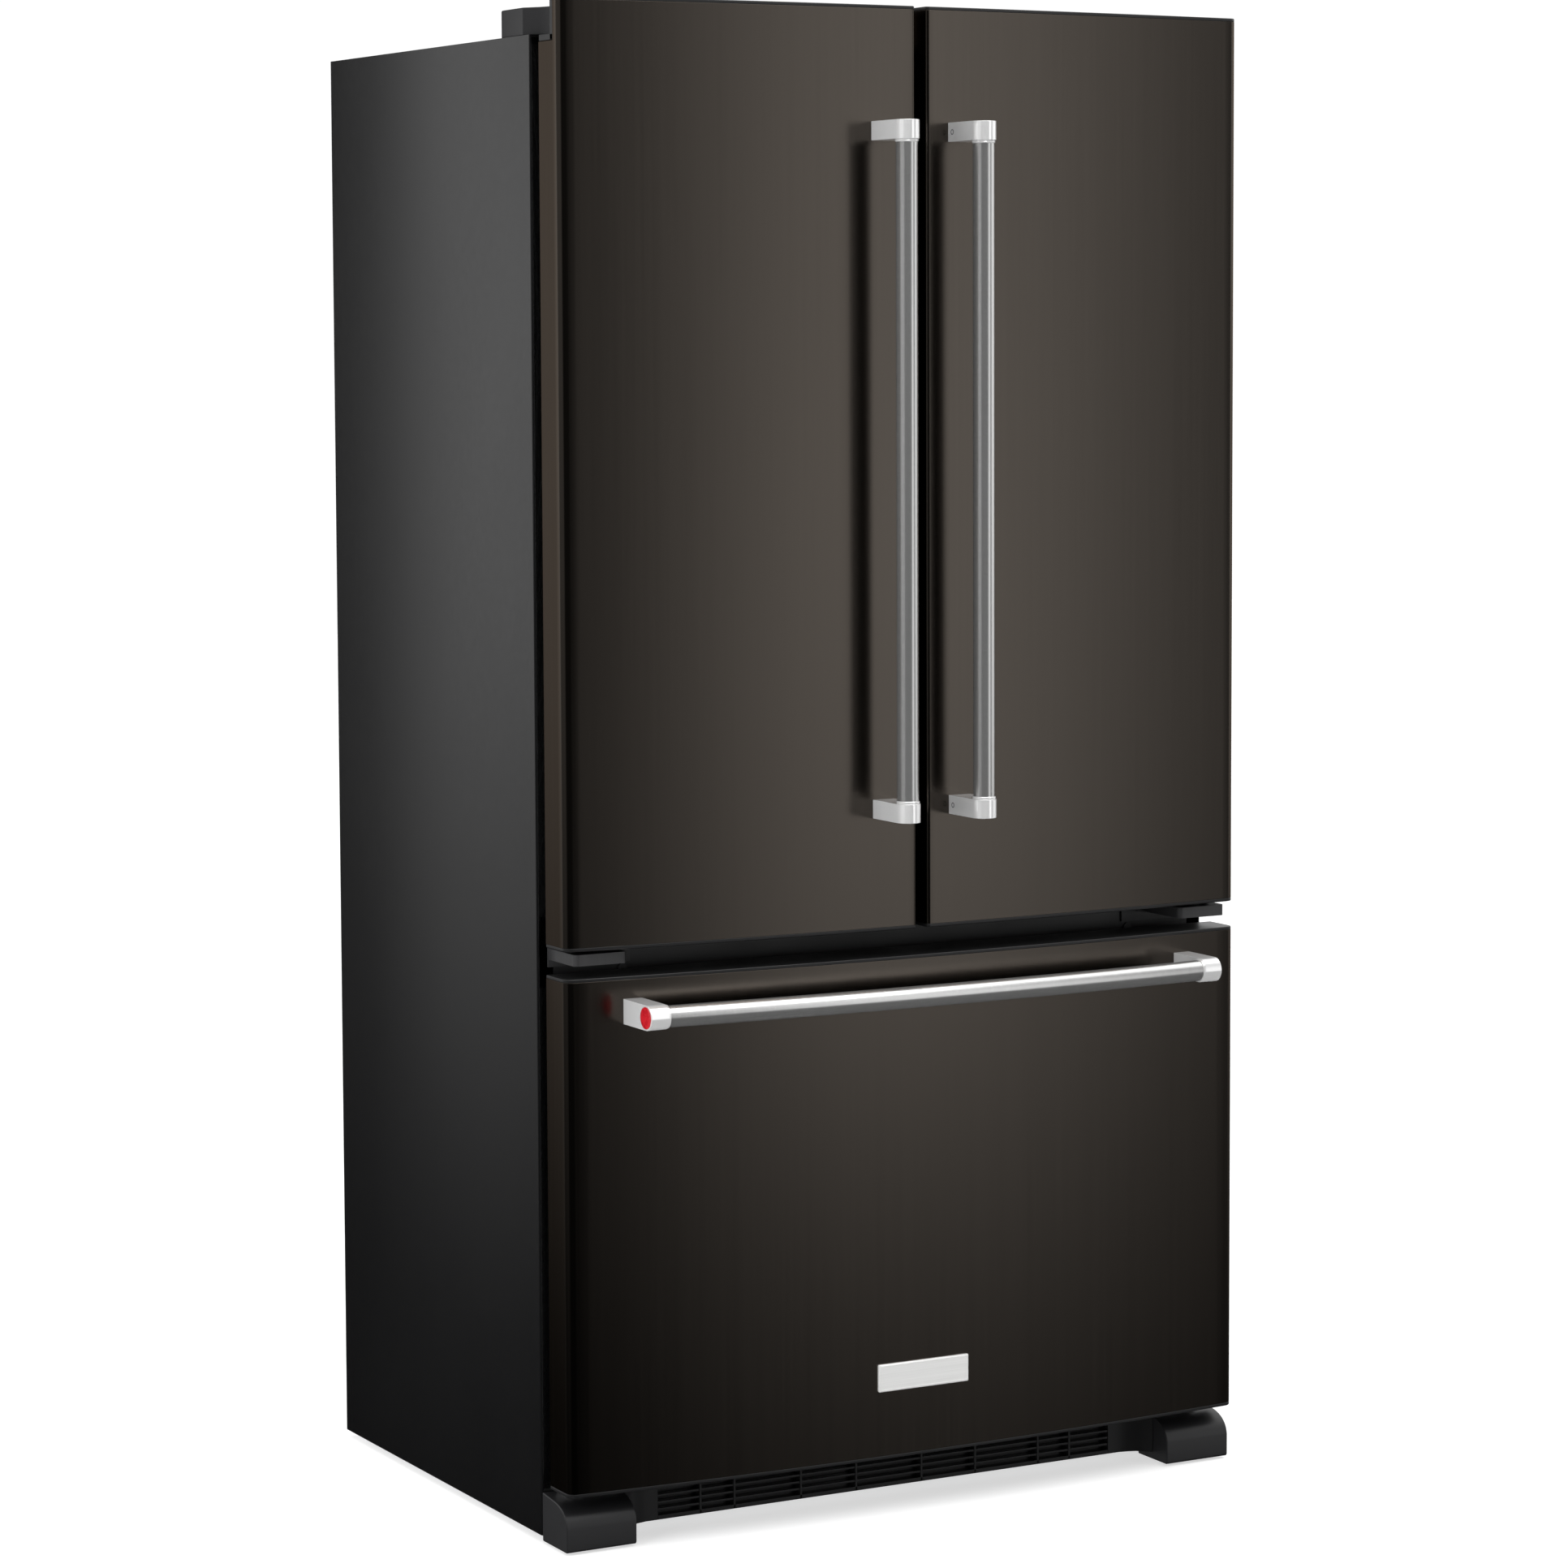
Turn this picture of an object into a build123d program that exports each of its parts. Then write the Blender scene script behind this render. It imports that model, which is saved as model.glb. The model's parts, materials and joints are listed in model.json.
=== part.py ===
"""French door refrigerator: two swinging doors above one sliding freezer drawer.

Millimetres. X runs right, the fronts face -Y, Z runs up. The origin is under the middle of the
whole object, on the floor. Depths are measured back from the doors' outer front edges.
"""
from build123d import *
import os

# ------------------------------------------------------------------ driving dimensions
width = 905.0
cabinet_depth = 574.0
cabinet_top = 1722.5
door_top = 1761.5
door_bottom = 694.0
drawer_top = 663.0
drawer_bottom = 69.0
door_depth = 51.0          # outer front edge to the back of a door
seal_gap = 23.0            # back of a door to the cabinet, filled by the gasket
bow = 20.5                 # the three fronts lie on one arc that stands this far out at the middle
door_gap = 14.5            # between the two upper doors
edge_radius = 11.0         # vertical outer edges of the fronts
free_edge_radius = 4.0     # vertical edges beside the gap
skin = 1.2                 # sheet steel of the fronts
cap_lip = 4.0              # plastic end caps stand this far past the steel
handle_reach = 70.0        # front surface to the nose of a handle post
handle_x = 51.0            # middle plane of a door handle
sheet = 1.5                # sheet steel of the cabinet
liner = 2.0                # moulded plastic liners
gap = 0.3                  # clearance between neighbours

half = width / 2
wall_inner = 405.0         # half the inner width of both compartments
food_z = (735.0, 1680.0)
freezer_z = (110.0, 640.0)
step_z = 300.0             # top of the step over the machine compartment
step_depth = 385.0         # front of that step
inner_depth = 590.0        # back wall of both compartments
machine_depth = 430.0      # front of the machine compartment
base_z = 56.0              # underside of the base pan
pin_x = 432.0              # door hinge axis, from the middle
pin_depth = 36.0           # door hinge axis, behind the outer front edge
pin_radius = 5.0
pin_fit = 0.05             # radial running clearance of every pin and shaft


def bow_at(x):
    """How far the fronts stand forward of their outer edges at x."""
    return bow * (1 - (x / half) ** 2)


nose = bow_at(handle_x) + handle_reach
edge_y = (nose - door_depth - seal_gap - cabinet_depth) / 2


def at(depth):
    """Y of a plane that lies this far behind the doors' outer front edges."""
    return edge_y + depth


door_back = at(door_depth)
cabinet_front = at(door_depth + seal_gap)
cabinet_back = at(door_depth + seal_gap + cabinet_depth)
pin_y = at(pin_depth)


# ------------------------------------------------------------------ shared shapes
def slab(x, y, z):
    """A box between low and high limits on each axis."""
    with BuildPart() as made:
        with BuildSketch(Plane.XY.offset(z[0])):
            with Locations(((x[0] + x[1]) / 2, (y[0] + y[1]) / 2)):
                Rectangle(x[1] - x[0], y[1] - y[0])
        extrude(amount=z[1] - z[0])
    return made.part


def rod(radius, start, length, axis="Z"):
    """A cylinder from start along a positive axis."""
    planes = {"X": Plane.YZ, "Y": Plane.XZ, "Z": Plane.XY}
    direction = {"X": 1, "Y": -1, "Z": 1}[axis]
    plane = planes[axis]
    with BuildPart() as made:
        with BuildSketch(Plane(origin=start, x_dir=plane.x_dir, z_dir=plane.z_dir)):
            Circle(radius)
        extrude(amount=length * direction)
    return made.part


def front_plan(low, high, radii, inset=0.0, back=door_back):
    """Plan of a front: the bowed face, two straight sides and a flat back."""
    x_low = low + inset
    x_high = high - inset
    middle = (x_low + x_high) / 2
    with BuildSketch() as plan:
        with BuildLine():
            face = ThreePointArc(
                (x_low, edge_y + inset - bow_at(x_low)),
                (middle, edge_y + inset - bow_at(middle)),
                (x_high, edge_y + inset - bow_at(x_high)),
            )
            Polyline(face @ 1, (x_high, back), (x_low, back), face @ 0)
        make_face()
        for x, radius in zip((x_low, x_high), radii):
            near_side = plan.vertices().sort_by(lambda vertex: abs(vertex.X - x))[:2]
            fillet(near_side.sort_by(Axis.Y)[0], radius - inset)
    return plan.sketch


def front_block(low, high, radii, z, inset=0.0, back=door_back):
    """The plan of a front carried from one height to another."""
    with BuildPart() as made:
        with BuildSketch(Plane.XY.offset(z[0])):
            add(front_plan(low, high, radii, inset, back))
        extrude(amount=z[1] - z[0])
    return made.part


def frame_ring(outer_x, outer_z, bar, y):
    """A rectangular ring that faces front, its bars all one width."""
    with BuildPart() as made:
        add(slab(outer_x, y, outer_z))
        inner_x = (outer_x[0] + bar, outer_x[1] - bar)
        inner_z = (outer_z[0] + bar, outer_z[1] - bar)
        add(slab(inner_x, (y[0] - 1, y[1] + 1), inner_z), mode=Mode.SUBTRACT)
    return made.part


def open_box(x, y, z, wall):
    """A box with a floor and four walls, open at the top."""
    with BuildPart() as made:
        add(slab(x, y, z))
        inside = [(low + wall, high - wall) for low, high in (x, y)]
        add(slab(*inside, (z[0] + wall, z[1] + 1)), mode=Mode.SUBTRACT)
    return made.part


os.makedirs("parts", exist_ok=True)

# ------------------------------------------------------------------ cabinet shell
side_bottom = 9.0
shell_x = half - sheet
inside_x = shell_x - gap
foam_x = (wall_inner + liner + 0.2, inside_x)

with BuildPart() as side_panels:
    for sign in (-1, 1):
        outer = sorted((sign * shell_x, sign * half))
        add(slab(outer, (cabinet_front, cabinet_back), (side_bottom, cabinet_top)))
side_panels.part.label = "side_panels"
export_step(side_panels.part, "parts/side_panels.step")

with BuildPart() as top_panel:
    add(slab((-inside_x, inside_x), (cabinet_front, at(646)), (cabinet_top - sheet, cabinet_top)))
top_panel.part.label = "top_panel"
export_step(top_panel.part, "parts/top_panel.step")

cover_split = 250.0
with BuildPart() as back_panel:
    add(slab((-inside_x, inside_x), (cabinet_back - sheet, cabinet_back), (cover_split, cabinet_top)))
back_panel.part.label = "back_panel"
export_step(back_panel.part, "parts/back_panel.step")

# Poured foam: one block for each wall, with a hair of space between blocks.
foam_floor = base_z + 4.2
foam_front = at(76.3)
foam_back = at(646)
foam_ceiling = cabinet_top - sheet - 0.2
liner_x = wall_inner + liner
with BuildPart() as insulation:
    for sign in (-1, 1):
        add(slab(sorted((sign * foam_x[0], sign * foam_x[1])), (at(88.5), foam_back),
                 (foam_floor, foam_ceiling)))
    across = (-liner_x, liner_x)
    behind = at(inner_depth + liner + 0.2)
    add(slab(across, (foam_front, foam_back), (food_z[1] + liner + 0.2, foam_ceiling)))
    add(slab(across, (behind, foam_back), (freezer_z[1] + liner, food_z[1] + liner)))
    add(slab(across, (at(88.5), behind - 0.2), (freezer_z[1] + liner + 0.2, food_z[0] - liner - 0.2)))
    add(slab(across, (behind, foam_back), (step_z, freezer_z[1] + liner - 0.2)))
    add(slab(across, (at(step_depth + liner + 0.2), foam_back), (cover_split, step_z - liner - 0.2)))
    add(slab(across, (at(step_depth + liner + 0.2), at(machine_depth)), (foam_floor, cover_split - 0.2)))
    add(slab(across, (foam_front, at(step_depth + liner)), (foam_floor, freezer_z[0] - liner - 0.2)))
insulation.part.label = "insulation"
export_step(insulation.part, "parts/insulation.step")

flange_back = at(76)
rail_z = (645.0, 726.0)
shelf_depths = (225.0, 575.0)
left_shelves = (1245.0, 1470.0)
right_shelves = (1185.0, 1430.0)
shelf_glass = 5.0
crisper_cover_z = 1040.0

with BuildPart() as food_liner:
    add(slab((-liner_x, liner_x), (cabinet_front, at(inner_depth + liner)),
             (food_z[0] - liner, food_z[1] + liner)))
    flange = (rail_z[1] + 0.2, cabinet_top - sheet - 0.2)
    add(slab((-inside_x, inside_x), (cabinet_front, flange_back), flange))
    add(slab((-wall_inner, wall_inner), (cabinet_front - 1, at(inner_depth)), food_z), mode=Mode.SUBTRACT)
    for sign, heights in ((-1, left_shelves), (1, right_shelves)):
        ledge = sorted((sign * (wall_inner - 8), sign * wall_inner))
        for height in heights + (crisper_cover_z,):
            add(slab(ledge, (at(240), at(inner_depth)), (height - 6, height)))
        stub = sorted((0.0, sign * 16.0))
        for height in heights:
            add(slab(stub, (at(520), at(inner_depth)), (height - 6, height)))
food_liner.part.label = "food_liner"
export_step(food_liner.part, "parts/food_liner.step")

basket_ledge = (590.0, 596.0)
with BuildPart() as freezer_liner:
    back_outer = at(inner_depth + liner)
    add(slab((-liner_x, liner_x), (cabinet_front, back_outer), (step_z - liner, freezer_z[1] + liner)))
    add(slab((-liner_x, liner_x), (cabinet_front, at(step_depth + liner)), (freezer_z[0] - liner, step_z)))
    add(slab((-inside_x, inside_x), (cabinet_front, flange_back), (drawer_bottom - 6, rail_z[0] - 0.2)))
    for depth, low in ((inner_depth, step_z), (step_depth, freezer_z[0])):
        add(slab((-wall_inner, wall_inner), (cabinet_front - 1, at(depth)), (low, freezer_z[1])),
            mode=Mode.SUBTRACT)
    for sign in (-1, 1):
        ledge = sorted((sign * (wall_inner - 18), sign * wall_inner))
        add(slab(ledge, (at(140), at(530)), basket_ledge))
freezer_liner.part.label = "freezer_liner"
export_step(freezer_liner.part, "parts/freezer_liner.step")

screw_x = (345.0, 360.0)
screw_z = (661.0, 684.0)
screw_shank = 2.5
flange_z = (668.0, 692.5)
hinge_plate_z = (677.0, 690.0)


def screw_places():
    """Middle of each centre hinge screw, mirrored left and right."""
    low = [(sign * screw_x[0], screw_z[0]) for sign in (-1, 1)]
    high = [(sign * screw_x[1], screw_z[1]) for sign in (-1, 1)]
    return low + high


with BuildPart() as centre_rail:
    add(slab((-inside_x, inside_x), (cabinet_front, at(88)), rail_z))
    for x, z in screw_places():
        add(rod(screw_shank + 0.05, (x, cabinet_front - 1, z), 11, "Y"), mode=Mode.SUBTRACT)
centre_rail.part.label = "centre_rail"
export_step(centre_rail.part, "parts/centre_rail.step")

# ------------------------------------------------------------------ hinges
notch_x = 357.0            # a door's hinge notch runs from here to its outer side
notch_depth = 23.0
notch_floor = 1721.0
rim = 8.0                  # plastic that lines the notch
hinge_plate = 4.0


def centre_hinge(sign):
    """A thick plate under one door, with the pin that carries it and a flange for two screws."""
    with BuildPart() as hinge:
        with BuildSketch(Plane.XY.offset(hinge_plate_z[0])):
            with Locations((sign * 407, (at(2) + at(73.7)) / 2)):
                Rectangle(66, 71.7)
        extrude(amount=hinge_plate_z[1] - hinge_plate_z[0])
        fillet(hinge.edges().filter_by(Axis.Z).group_by(Axis.Y)[0], 6)
        add(slab(sorted((sign * 336, sign * 440)), (at(71), at(73.9)), flange_z))
        add(rod(pin_radius, (sign * pin_x, pin_y, hinge_plate_z[1] - 1), 23))
        add(rod(screw_shank + 0.05, (sign * screw_x[1], at(70), screw_z[1]), 8, "Y"), mode=Mode.SUBTRACT)
    return hinge.part


with BuildPart() as hinge_brackets:
    for sign in (-1, 1):
        with BuildSketch(Plane.XY.offset(cabinet_top)):
            with BuildLine():
                Polyline(
                    (sign * 385, at(76)), (sign * 385, at(150)), (sign * 440, at(150)),
                    (sign * 440, at(104)), (sign * 430, at(84)), (sign * 424.4, at(54)),
                    (sign * 424.4, pin_y), (sign * 405, pin_y), (sign * 385, at(76)),
                )
            make_face()
            with Locations((sign * pin_x, pin_y)):
                Circle(9.4)
        extrude(amount=hinge_plate)
        add(rod(pin_radius, (sign * pin_x, pin_y, 1700), cabinet_top + 1 - 1700))
        add(centre_hinge(sign))
    for x, z in screw_places():
        seat = at(70.9) if z == screw_z[1] else cabinet_front
        add(rod(screw_shank, (x, seat - 1, z), at(83) - seat, "Y"))
        add(rod(5.0, (x, seat - 2.4, z), 2.3, "Y"))
hinge_brackets.part.label = "hinge_brackets"
export_step(hinge_brackets.part, "parts/hinge_brackets.step")

cover_top = 1754.0
cover_wall = 2.2


def cover_plan(sign, inset=0.0):
    """Plan of a hinge cover: a wide rear block, and a narrow front that ends round the pin."""
    with BuildSketch() as plan:
        with BuildLine():
            Polyline(
                (sign * (362 + inset), at(27 + inset)), (sign * (362 + inset), at(168 - inset)),
                (sign * (449.5 - inset), at(168 - inset)), (sign * (449.5 - inset), at(98 + inset)),
                (sign * (437 - inset), at(80 + inset)), (sign * (427 - inset), at(50)),
                (sign * (427 - inset), at(27 + inset)), (sign * (362 + inset), at(27 + inset)),
            )
        make_face()
        rear = plan.vertices().group_by(Axis.Y)[-1]
        fillet(rear, 18 - inset)
        with Locations((sign * pin_x, pin_y)):
            Circle(12 - inset)
    return plan.sketch


with BuildPart() as hinge_covers:
    for sign in (-1, 1):
        with BuildSketch(Plane.XY.offset(cabinet_top)):
            add(cover_plan(sign))
        extrude(amount=cover_top - cabinet_top)
        with BuildSketch(Plane.XY.offset(cabinet_top)):
            add(cover_plan(sign, cover_wall))
        extrude(amount=cover_top - cabinet_top - cover_wall, mode=Mode.SUBTRACT)
hinge_covers.part.label = "hinge_covers"
export_step(hinge_covers.part, "parts/hinge_covers.step")

# ------------------------------------------------------------------ base
grille_half = 310.0
foot_x = (363.0, 452.0)
grille_z = (12.0, 64.0)
divider_x = (45.0, 120.0, 209.0, 254.0)
slot_rows = 5

with BuildPart() as base_grille:
    with BuildSketch(Plane.XY.offset(grille_z[0])):
        with BuildLine():
            end = foot_x[0] - gap
            left = ThreePointArc((-end, at(40)), (-347, at(54)), (-326, at(60)))
            run = Line(left @ 1, (326, at(60)))
            right = ThreePointArc(run @ 1, (347, at(54)), (end, at(40)))
            Polyline(right @ 1, (end, at(73.7)), (-end, at(73.7)), left @ 0)
        make_face()
    extrude(amount=grille_z[1] - grille_z[0])
    add(slab((-324, 324), (at(63), at(80)), (grille_z[0] + 3, grille_z[1] - 3)), mode=Mode.SUBTRACT)
    bars = sorted([-grille_half, grille_half] + [sign * x for x in divider_x for sign in (-1, 1)])
    for low, high in zip(bars, bars[1:]):
        for row in range(slot_rows):
            z = grille_z[0] + 5.5 + 8.2 * row
            add(slab((low + 1.2, high - 1.2), (at(50), at(66)), (z, z + 4.6)), mode=Mode.SUBTRACT)
base_grille.part.label = "base_grille"
export_step(base_grille.part, "parts/base_grille.step")

with BuildPart() as foot_covers:
    for sign in (-1, 1):
        start = min(sign * foot_x[0], sign * foot_x[1])
        with BuildSketch(Plane(origin=(start, 0, 0), x_dir=(0, 1, 0), z_dir=(1, 0, 0))):
            with BuildLine():
                brow = ThreePointArc((at(9), 35), (at(24), 50.5), (at(46), 57))
                Polyline(brow @ 1, (at(73.7), 60), (at(73.7), 3), (at(9), 3), brow @ 0)
            make_face()
        extrude(amount=foot_x[1] - foot_x[0])
    corners = foot_covers.edges().filter_by(Axis.Z).group_by(Axis.Y)[0]
    fillet(corners, 7)
foot_covers.part.label = "foot_covers"
export_step(foot_covers.part, "parts/foot_covers.step")

foot_place = (418.0, at(100))
with BuildPart() as levelling_feet:
    for sign in (-1, 1):
        x = sign * foot_place[0]
        add(rod(18, (x, foot_place[1], 0), 7))
        add(rod(5, (x, foot_place[1], 6), base_z - 6.1))
        with BuildSketch(Plane.XY.offset(7)):
            with Locations((x, foot_place[1])):
                RegularPolygon(9, 6)
        extrude(amount=7)
levelling_feet.part.label = "levelling_feet"
export_step(levelling_feet.part, "parts/levelling_feet.step")

roller_radius = 22.0
roller_x = 380.0
roller_half = 12.0
axle_radius = 4.0
front_roller = (at(150), 24.5)     # the front rollers hang clear until the feet are wound up
rear_roller = (at(600), roller_radius)

with BuildPart() as base_pan:
    add(slab((-inside_x, inside_x), (at(76.3), at(646)), (base_z, base_z + 4)))
    for sign in (-1, 1):
        for y, z in (front_roller, rear_roller):
            middle = sign * roller_x
            for cheek in (-1, 1):
                outer = middle + cheek * (roller_half + 4)
                inner = middle + cheek * (roller_half + 1)
                add(slab(sorted((inner, outer)), (y - 14, y + 14), (z - 8, base_z - 0.1)))
            add(slab((middle - 16, middle + 16), (y - 14, y + 14), (base_z - 3.1, base_z - 0.1)))
            add(rod(axle_radius, (middle - 16, y, z), 32, "X"))
base_pan.part.label = "base_pan"
export_step(base_pan.part, "parts/base_pan.step")

for name, (y, z) in (("front_rollers", front_roller), ("rear_rollers", rear_roller)):
    with BuildPart() as rollers:
        for sign in (-1, 1):
            start = sign * roller_x - roller_half
            add(rod(roller_radius, (start, y, z), 2 * roller_half, "X"))
        rims = rollers.edges().filter_by(GeomType.CIRCLE)
        fillet(rims, 2)
        for sign in (-1, 1):
            start = sign * roller_x - roller_half - 1
            add(rod(axle_radius + pin_fit, (start, y, z), 2 * roller_half + 2, "X"), mode=Mode.SUBTRACT)
    rollers.part.label = name
    export_step(rollers.part, f"parts/{name}.step")

# ------------------------------------------------------------------ machine compartment
machine_floor = base_z + 4.2
machine_roof = cover_split - 0.3

with BuildPart() as compressor:
    middle = (225.0, at(545))
    with BuildSketch(Plane.XY.offset(machine_floor + 16)):
        with Locations(middle):
            Ellipse(88, 70)
    extrude(amount=140)
    fillet(compressor.edges().group_by(Axis.Z)[-1], 45)
    fillet(compressor.edges().group_by(Axis.Z)[0], 14)
    with BuildSketch(Plane.XY.offset(machine_floor + 10)):
        with Locations(middle):
            RectangleRounded(190, 110, 12)
    extrude(amount=8)
    for x in (-80, 80):
        for y in (-42, 42):
            add(rod(9, (middle[0] + x, middle[1] + y, machine_floor), 12))
compressor.part.label = "compressor"
export_step(compressor.part, "parts/compressor.step")


def finned_coil(x, y, z, rows, fin_count):
    """Tubes that run along X in rows, held by thin fins across them."""
    with BuildPart() as coil:
        pitch = (x[1] - x[0] - 2) / (fin_count - 1)
        for index in range(fin_count):
            start = x[0] + pitch * index
            add(slab((start, start + 1.2), y, z))
        for depth in (0.3, 0.7):
            for row in range(rows):
                height = z[0] + (z[1] - z[0]) * (row + 0.5) / rows
                place = (x[0] - 10, y[0] + (y[1] - y[0]) * depth, height)
                add(rod(4, place, x[1] - x[0] + 20, "X"))
    return coil.part


with BuildPart() as condenser:
    add(finned_coil((-372, -190), (at(462), at(622)), (machine_floor, machine_roof - 20), 4, 14))
condenser.part.label = "condenser"
export_step(condenser.part, "parts/condenser.step")

condenser_fan = (-120.0, at(545), 152.0)       # hub's start on the motor's shaft, which runs along X
evaporator_fan = (0.0, at(568), 560.0)         # hub's back on the motor's shaft, which runs along Y
shaft_radius = 3.0
blade_depth = 18.0

with BuildPart() as fan_motors:
    x, y, z = condenser_fan
    add(rod(27, (x + 22, y, z), 36, "X"))
    add(rod(shaft_radius, (x - 20, y, z), 43, "X"))
    add(slab((x + 30, x + 50), (y - 12, y + 12), (machine_floor, z - 20)))
    add(slab((x + 20, x + 60), (y - 40, y + 40), (machine_floor, machine_floor + 3)))
    x, y, z = evaporator_fan
    add(rod(24, (x, y + 4, z), at(inner_depth) - y - 4.2, "Y"))
    add(rod(shaft_radius, (x, y - 20, z), 25, "Y"))
fan_motors.part.label = "fan_motors"
export_step(fan_motors.part, "parts/fan_motors.step")


def fan_blade(tip_radius):
    """A hub and five pitched vanes about Z, with the shaft's bore through the hub."""
    with BuildPart() as fan:
        Cylinder(15, blade_depth)
        reach = tip_radius - 12
        with PolarLocations(12 + reach / 2, 5):
            Box(reach, 30, 2, rotation=(28, 0, 0))
        with BuildSketch(Plane.XY.offset(-blade_depth)):
            Circle(tip_radius)
        extrude(amount=2 * blade_depth, mode=Mode.INTERSECT)
        Cylinder(shaft_radius + pin_fit, 3 * blade_depth, mode=Mode.SUBTRACT)
    return fan.part


x, y, z = condenser_fan
with BuildPart() as condenser_fan_blade:
    add(Plane(origin=(x, y, z), x_dir=(0, 1, 0), z_dir=(1, 0, 0)).location * fan_blade(66))
condenser_fan_blade.part.label = "condenser_fan_blade"
export_step(condenser_fan_blade.part, "parts/condenser_fan_blade.step")

x, y, z = evaporator_fan
with BuildPart() as evaporator_fan_blade:
    middle = (x, y - 10, z)
    add(Plane(origin=middle, x_dir=(1, 0, 0), z_dir=(0, 1, 0)).location * fan_blade(46))
evaporator_fan_blade.part.label = "evaporator_fan_blade"
export_step(evaporator_fan_blade.part, "parts/evaporator_fan_blade.step")

inlet_x = 330.0
inlet_z = 140.0
with BuildPart() as machine_cover:
    plate = (cabinet_back - sheet, cabinet_back)
    add(slab((-inside_x, inside_x), plate, (machine_floor, cover_split - gap)))
    louvre = (cabinet_back - 5, cabinet_back + 5)
    for column in range(9):
        x = -380 + column * 66
        for row in range(9):
            z = machine_floor + 22 + row * 18
            add(slab((x, x + 50), louvre, (z, z + 7)), mode=Mode.SUBTRACT)
    inlet_hole = slab((inlet_x - 24.5, inlet_x + 24.5), louvre, (inlet_z - 16.5, inlet_z + 16.5))
    add(inlet_hole, mode=Mode.SUBTRACT)
machine_cover.part.label = "machine_cover"
export_step(machine_cover.part, "parts/machine_cover.step")

with BuildPart() as power_inlet:
    add(slab((inlet_x - 24, inlet_x + 24), (at(618), cabinet_back), (inlet_z - 16, inlet_z + 16)))
    inlet_y = (at(641), cabinet_back - sheet - 0.1)
    add(slab((inlet_x - 30, inlet_x + 30), inlet_y, (inlet_z - 22, inlet_z + 22)))
    mouth = (at(628), cabinet_back + 1)
    add(slab((inlet_x - 13, inlet_x + 13), mouth, (inlet_z - 9, inlet_z + 9)), mode=Mode.SUBTRACT)
    for x in (-7, 0, 7):
        add(slab((inlet_x + x - 1, inlet_x + x + 1), (at(627), at(643)), (inlet_z - 2.5, inlet_z + 2.5)))
power_inlet.part.label = "power_inlet"
export_step(power_inlet.part, "parts/power_inlet.step")

# ------------------------------------------------------------------ freezer back and its fan
evaporator_front = 540.0
with BuildPart() as evaporator:
    add(finned_coil((-300, 300), (at(549), at(586)), (step_z + 12, 486), 5, 26))
evaporator.part.label = "evaporator"
export_step(evaporator.part, "parts/evaporator.step")

with BuildPart() as evaporator_cover:
    span = (-wall_inner + gap, wall_inner - gap)
    depth = (at(evaporator_front), at(evaporator_front + 3))
    add(slab(span, depth, (step_z + gap, freezer_z[1] - gap)))
    with BuildSketch(Plane.XZ.offset(-at(evaporator_front) - 3)):
        with Locations((0, evaporator_fan[2])):
            with PolarLocations(31, 8):
                SlotOverall(26, 8)
            Circle(8)
        with GridLocations(120, 12, 5, 3):
            SlotOverall(90, 5)
    extrude(amount=10, both=True, mode=Mode.SUBTRACT)
evaporator_cover.part.label = "evaporator_cover"
export_step(evaporator_cover.part, "parts/evaporator_cover.step")

# ------------------------------------------------------------------ inside the fresh food compartment
with BuildPart() as control_panel:
    add(slab((-190, 190), (at(230), at(330)), (1662, food_z[1] - 0.2)))
    fillet(control_panel.edges().filter_by(Axis.Z), 10)
    fillet(control_panel.faces().sort_by(Axis.Z)[0].edges(), 4)
control_panel.part.label = "control_panel"
export_step(control_panel.part, "parts/control_panel.step")

shelf_edge = wall_inner - 1.0
box_depths = (262.0, 572.0)
crisper_z = (866.0, 1030.0)
pantry_z = (742.0, 845.0)
pantry_cover_z = 852.0

with BuildPart() as glass_shelves:
    for sign, heights in ((-1, left_shelves), (1, right_shelves)):
        for height in heights:
            across = sorted((sign * 4.0, sign * shelf_edge))
            base = (height + 0.1, height + 0.1 + shelf_glass)
            add(slab(across, (at(shelf_depths[0]), at(shelf_depths[1])), base))
    span = (-shelf_edge, shelf_edge)
    depth = (at(240), at(586))
    add(slab(span, depth, (crisper_cover_z + 0.1, crisper_cover_z + 8)))
    add(slab(span, depth, (pantry_cover_z, pantry_cover_z + 8)))
    add(slab((-4, 4), depth, (pantry_cover_z, crisper_cover_z + 8)))
    for sign in (-1, 1):
        leg = sorted((sign * (shelf_edge - 5), sign * shelf_edge))
        add(slab(leg, depth, (food_z[0] + 0.1, pantry_cover_z + 1)))
glass_shelves.part.label = "glass_shelves"
export_step(glass_shelves.part, "parts/glass_shelves.step")


def drawer_box(x, z, wall):
    """An open box with a grip rolled over the top of its front wall."""
    y = (at(box_depths[0]), at(box_depths[1]))
    with BuildPart() as box:
        add(open_box(x, (y[0] + 8, y[1]), z, wall))
        add(slab(x, (y[0] + 5, y[0] + 9), z))
        add(slab((x[0] + 20, x[1] - 20), (y[0], y[0] + 6), (z[1] - 16, z[1] - 4)))
    return box.part


for name, span, heights in (
    ("crisper_left", (-394.0, -8.0), crisper_z),
    ("crisper_right", (8.0, 394.0), crisper_z),
    ("pantry_drawer", (-394.0, 394.0), pantry_z),
):
    with BuildPart() as box:
        add(drawer_box(span, heights, 3.0))
    box.part.label = name
    export_step(box.part, f"parts/{name}.step")

# ------------------------------------------------------------------ freezer drawer's slides and baskets
slide_z = (408.0, 428.0)
inner_front = 66.2
with BuildPart() as drawer_slides_outer:
    for sign in (-1, 1):
        span = sorted((sign * 398.0, sign * (wall_inner - 0.2)))
        add(slab(span, (at(80), at(530)), slide_z))
drawer_slides_outer.part.label = "drawer_slides_outer"
export_step(drawer_slides_outer.part, "parts/drawer_slides_outer.step")

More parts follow.
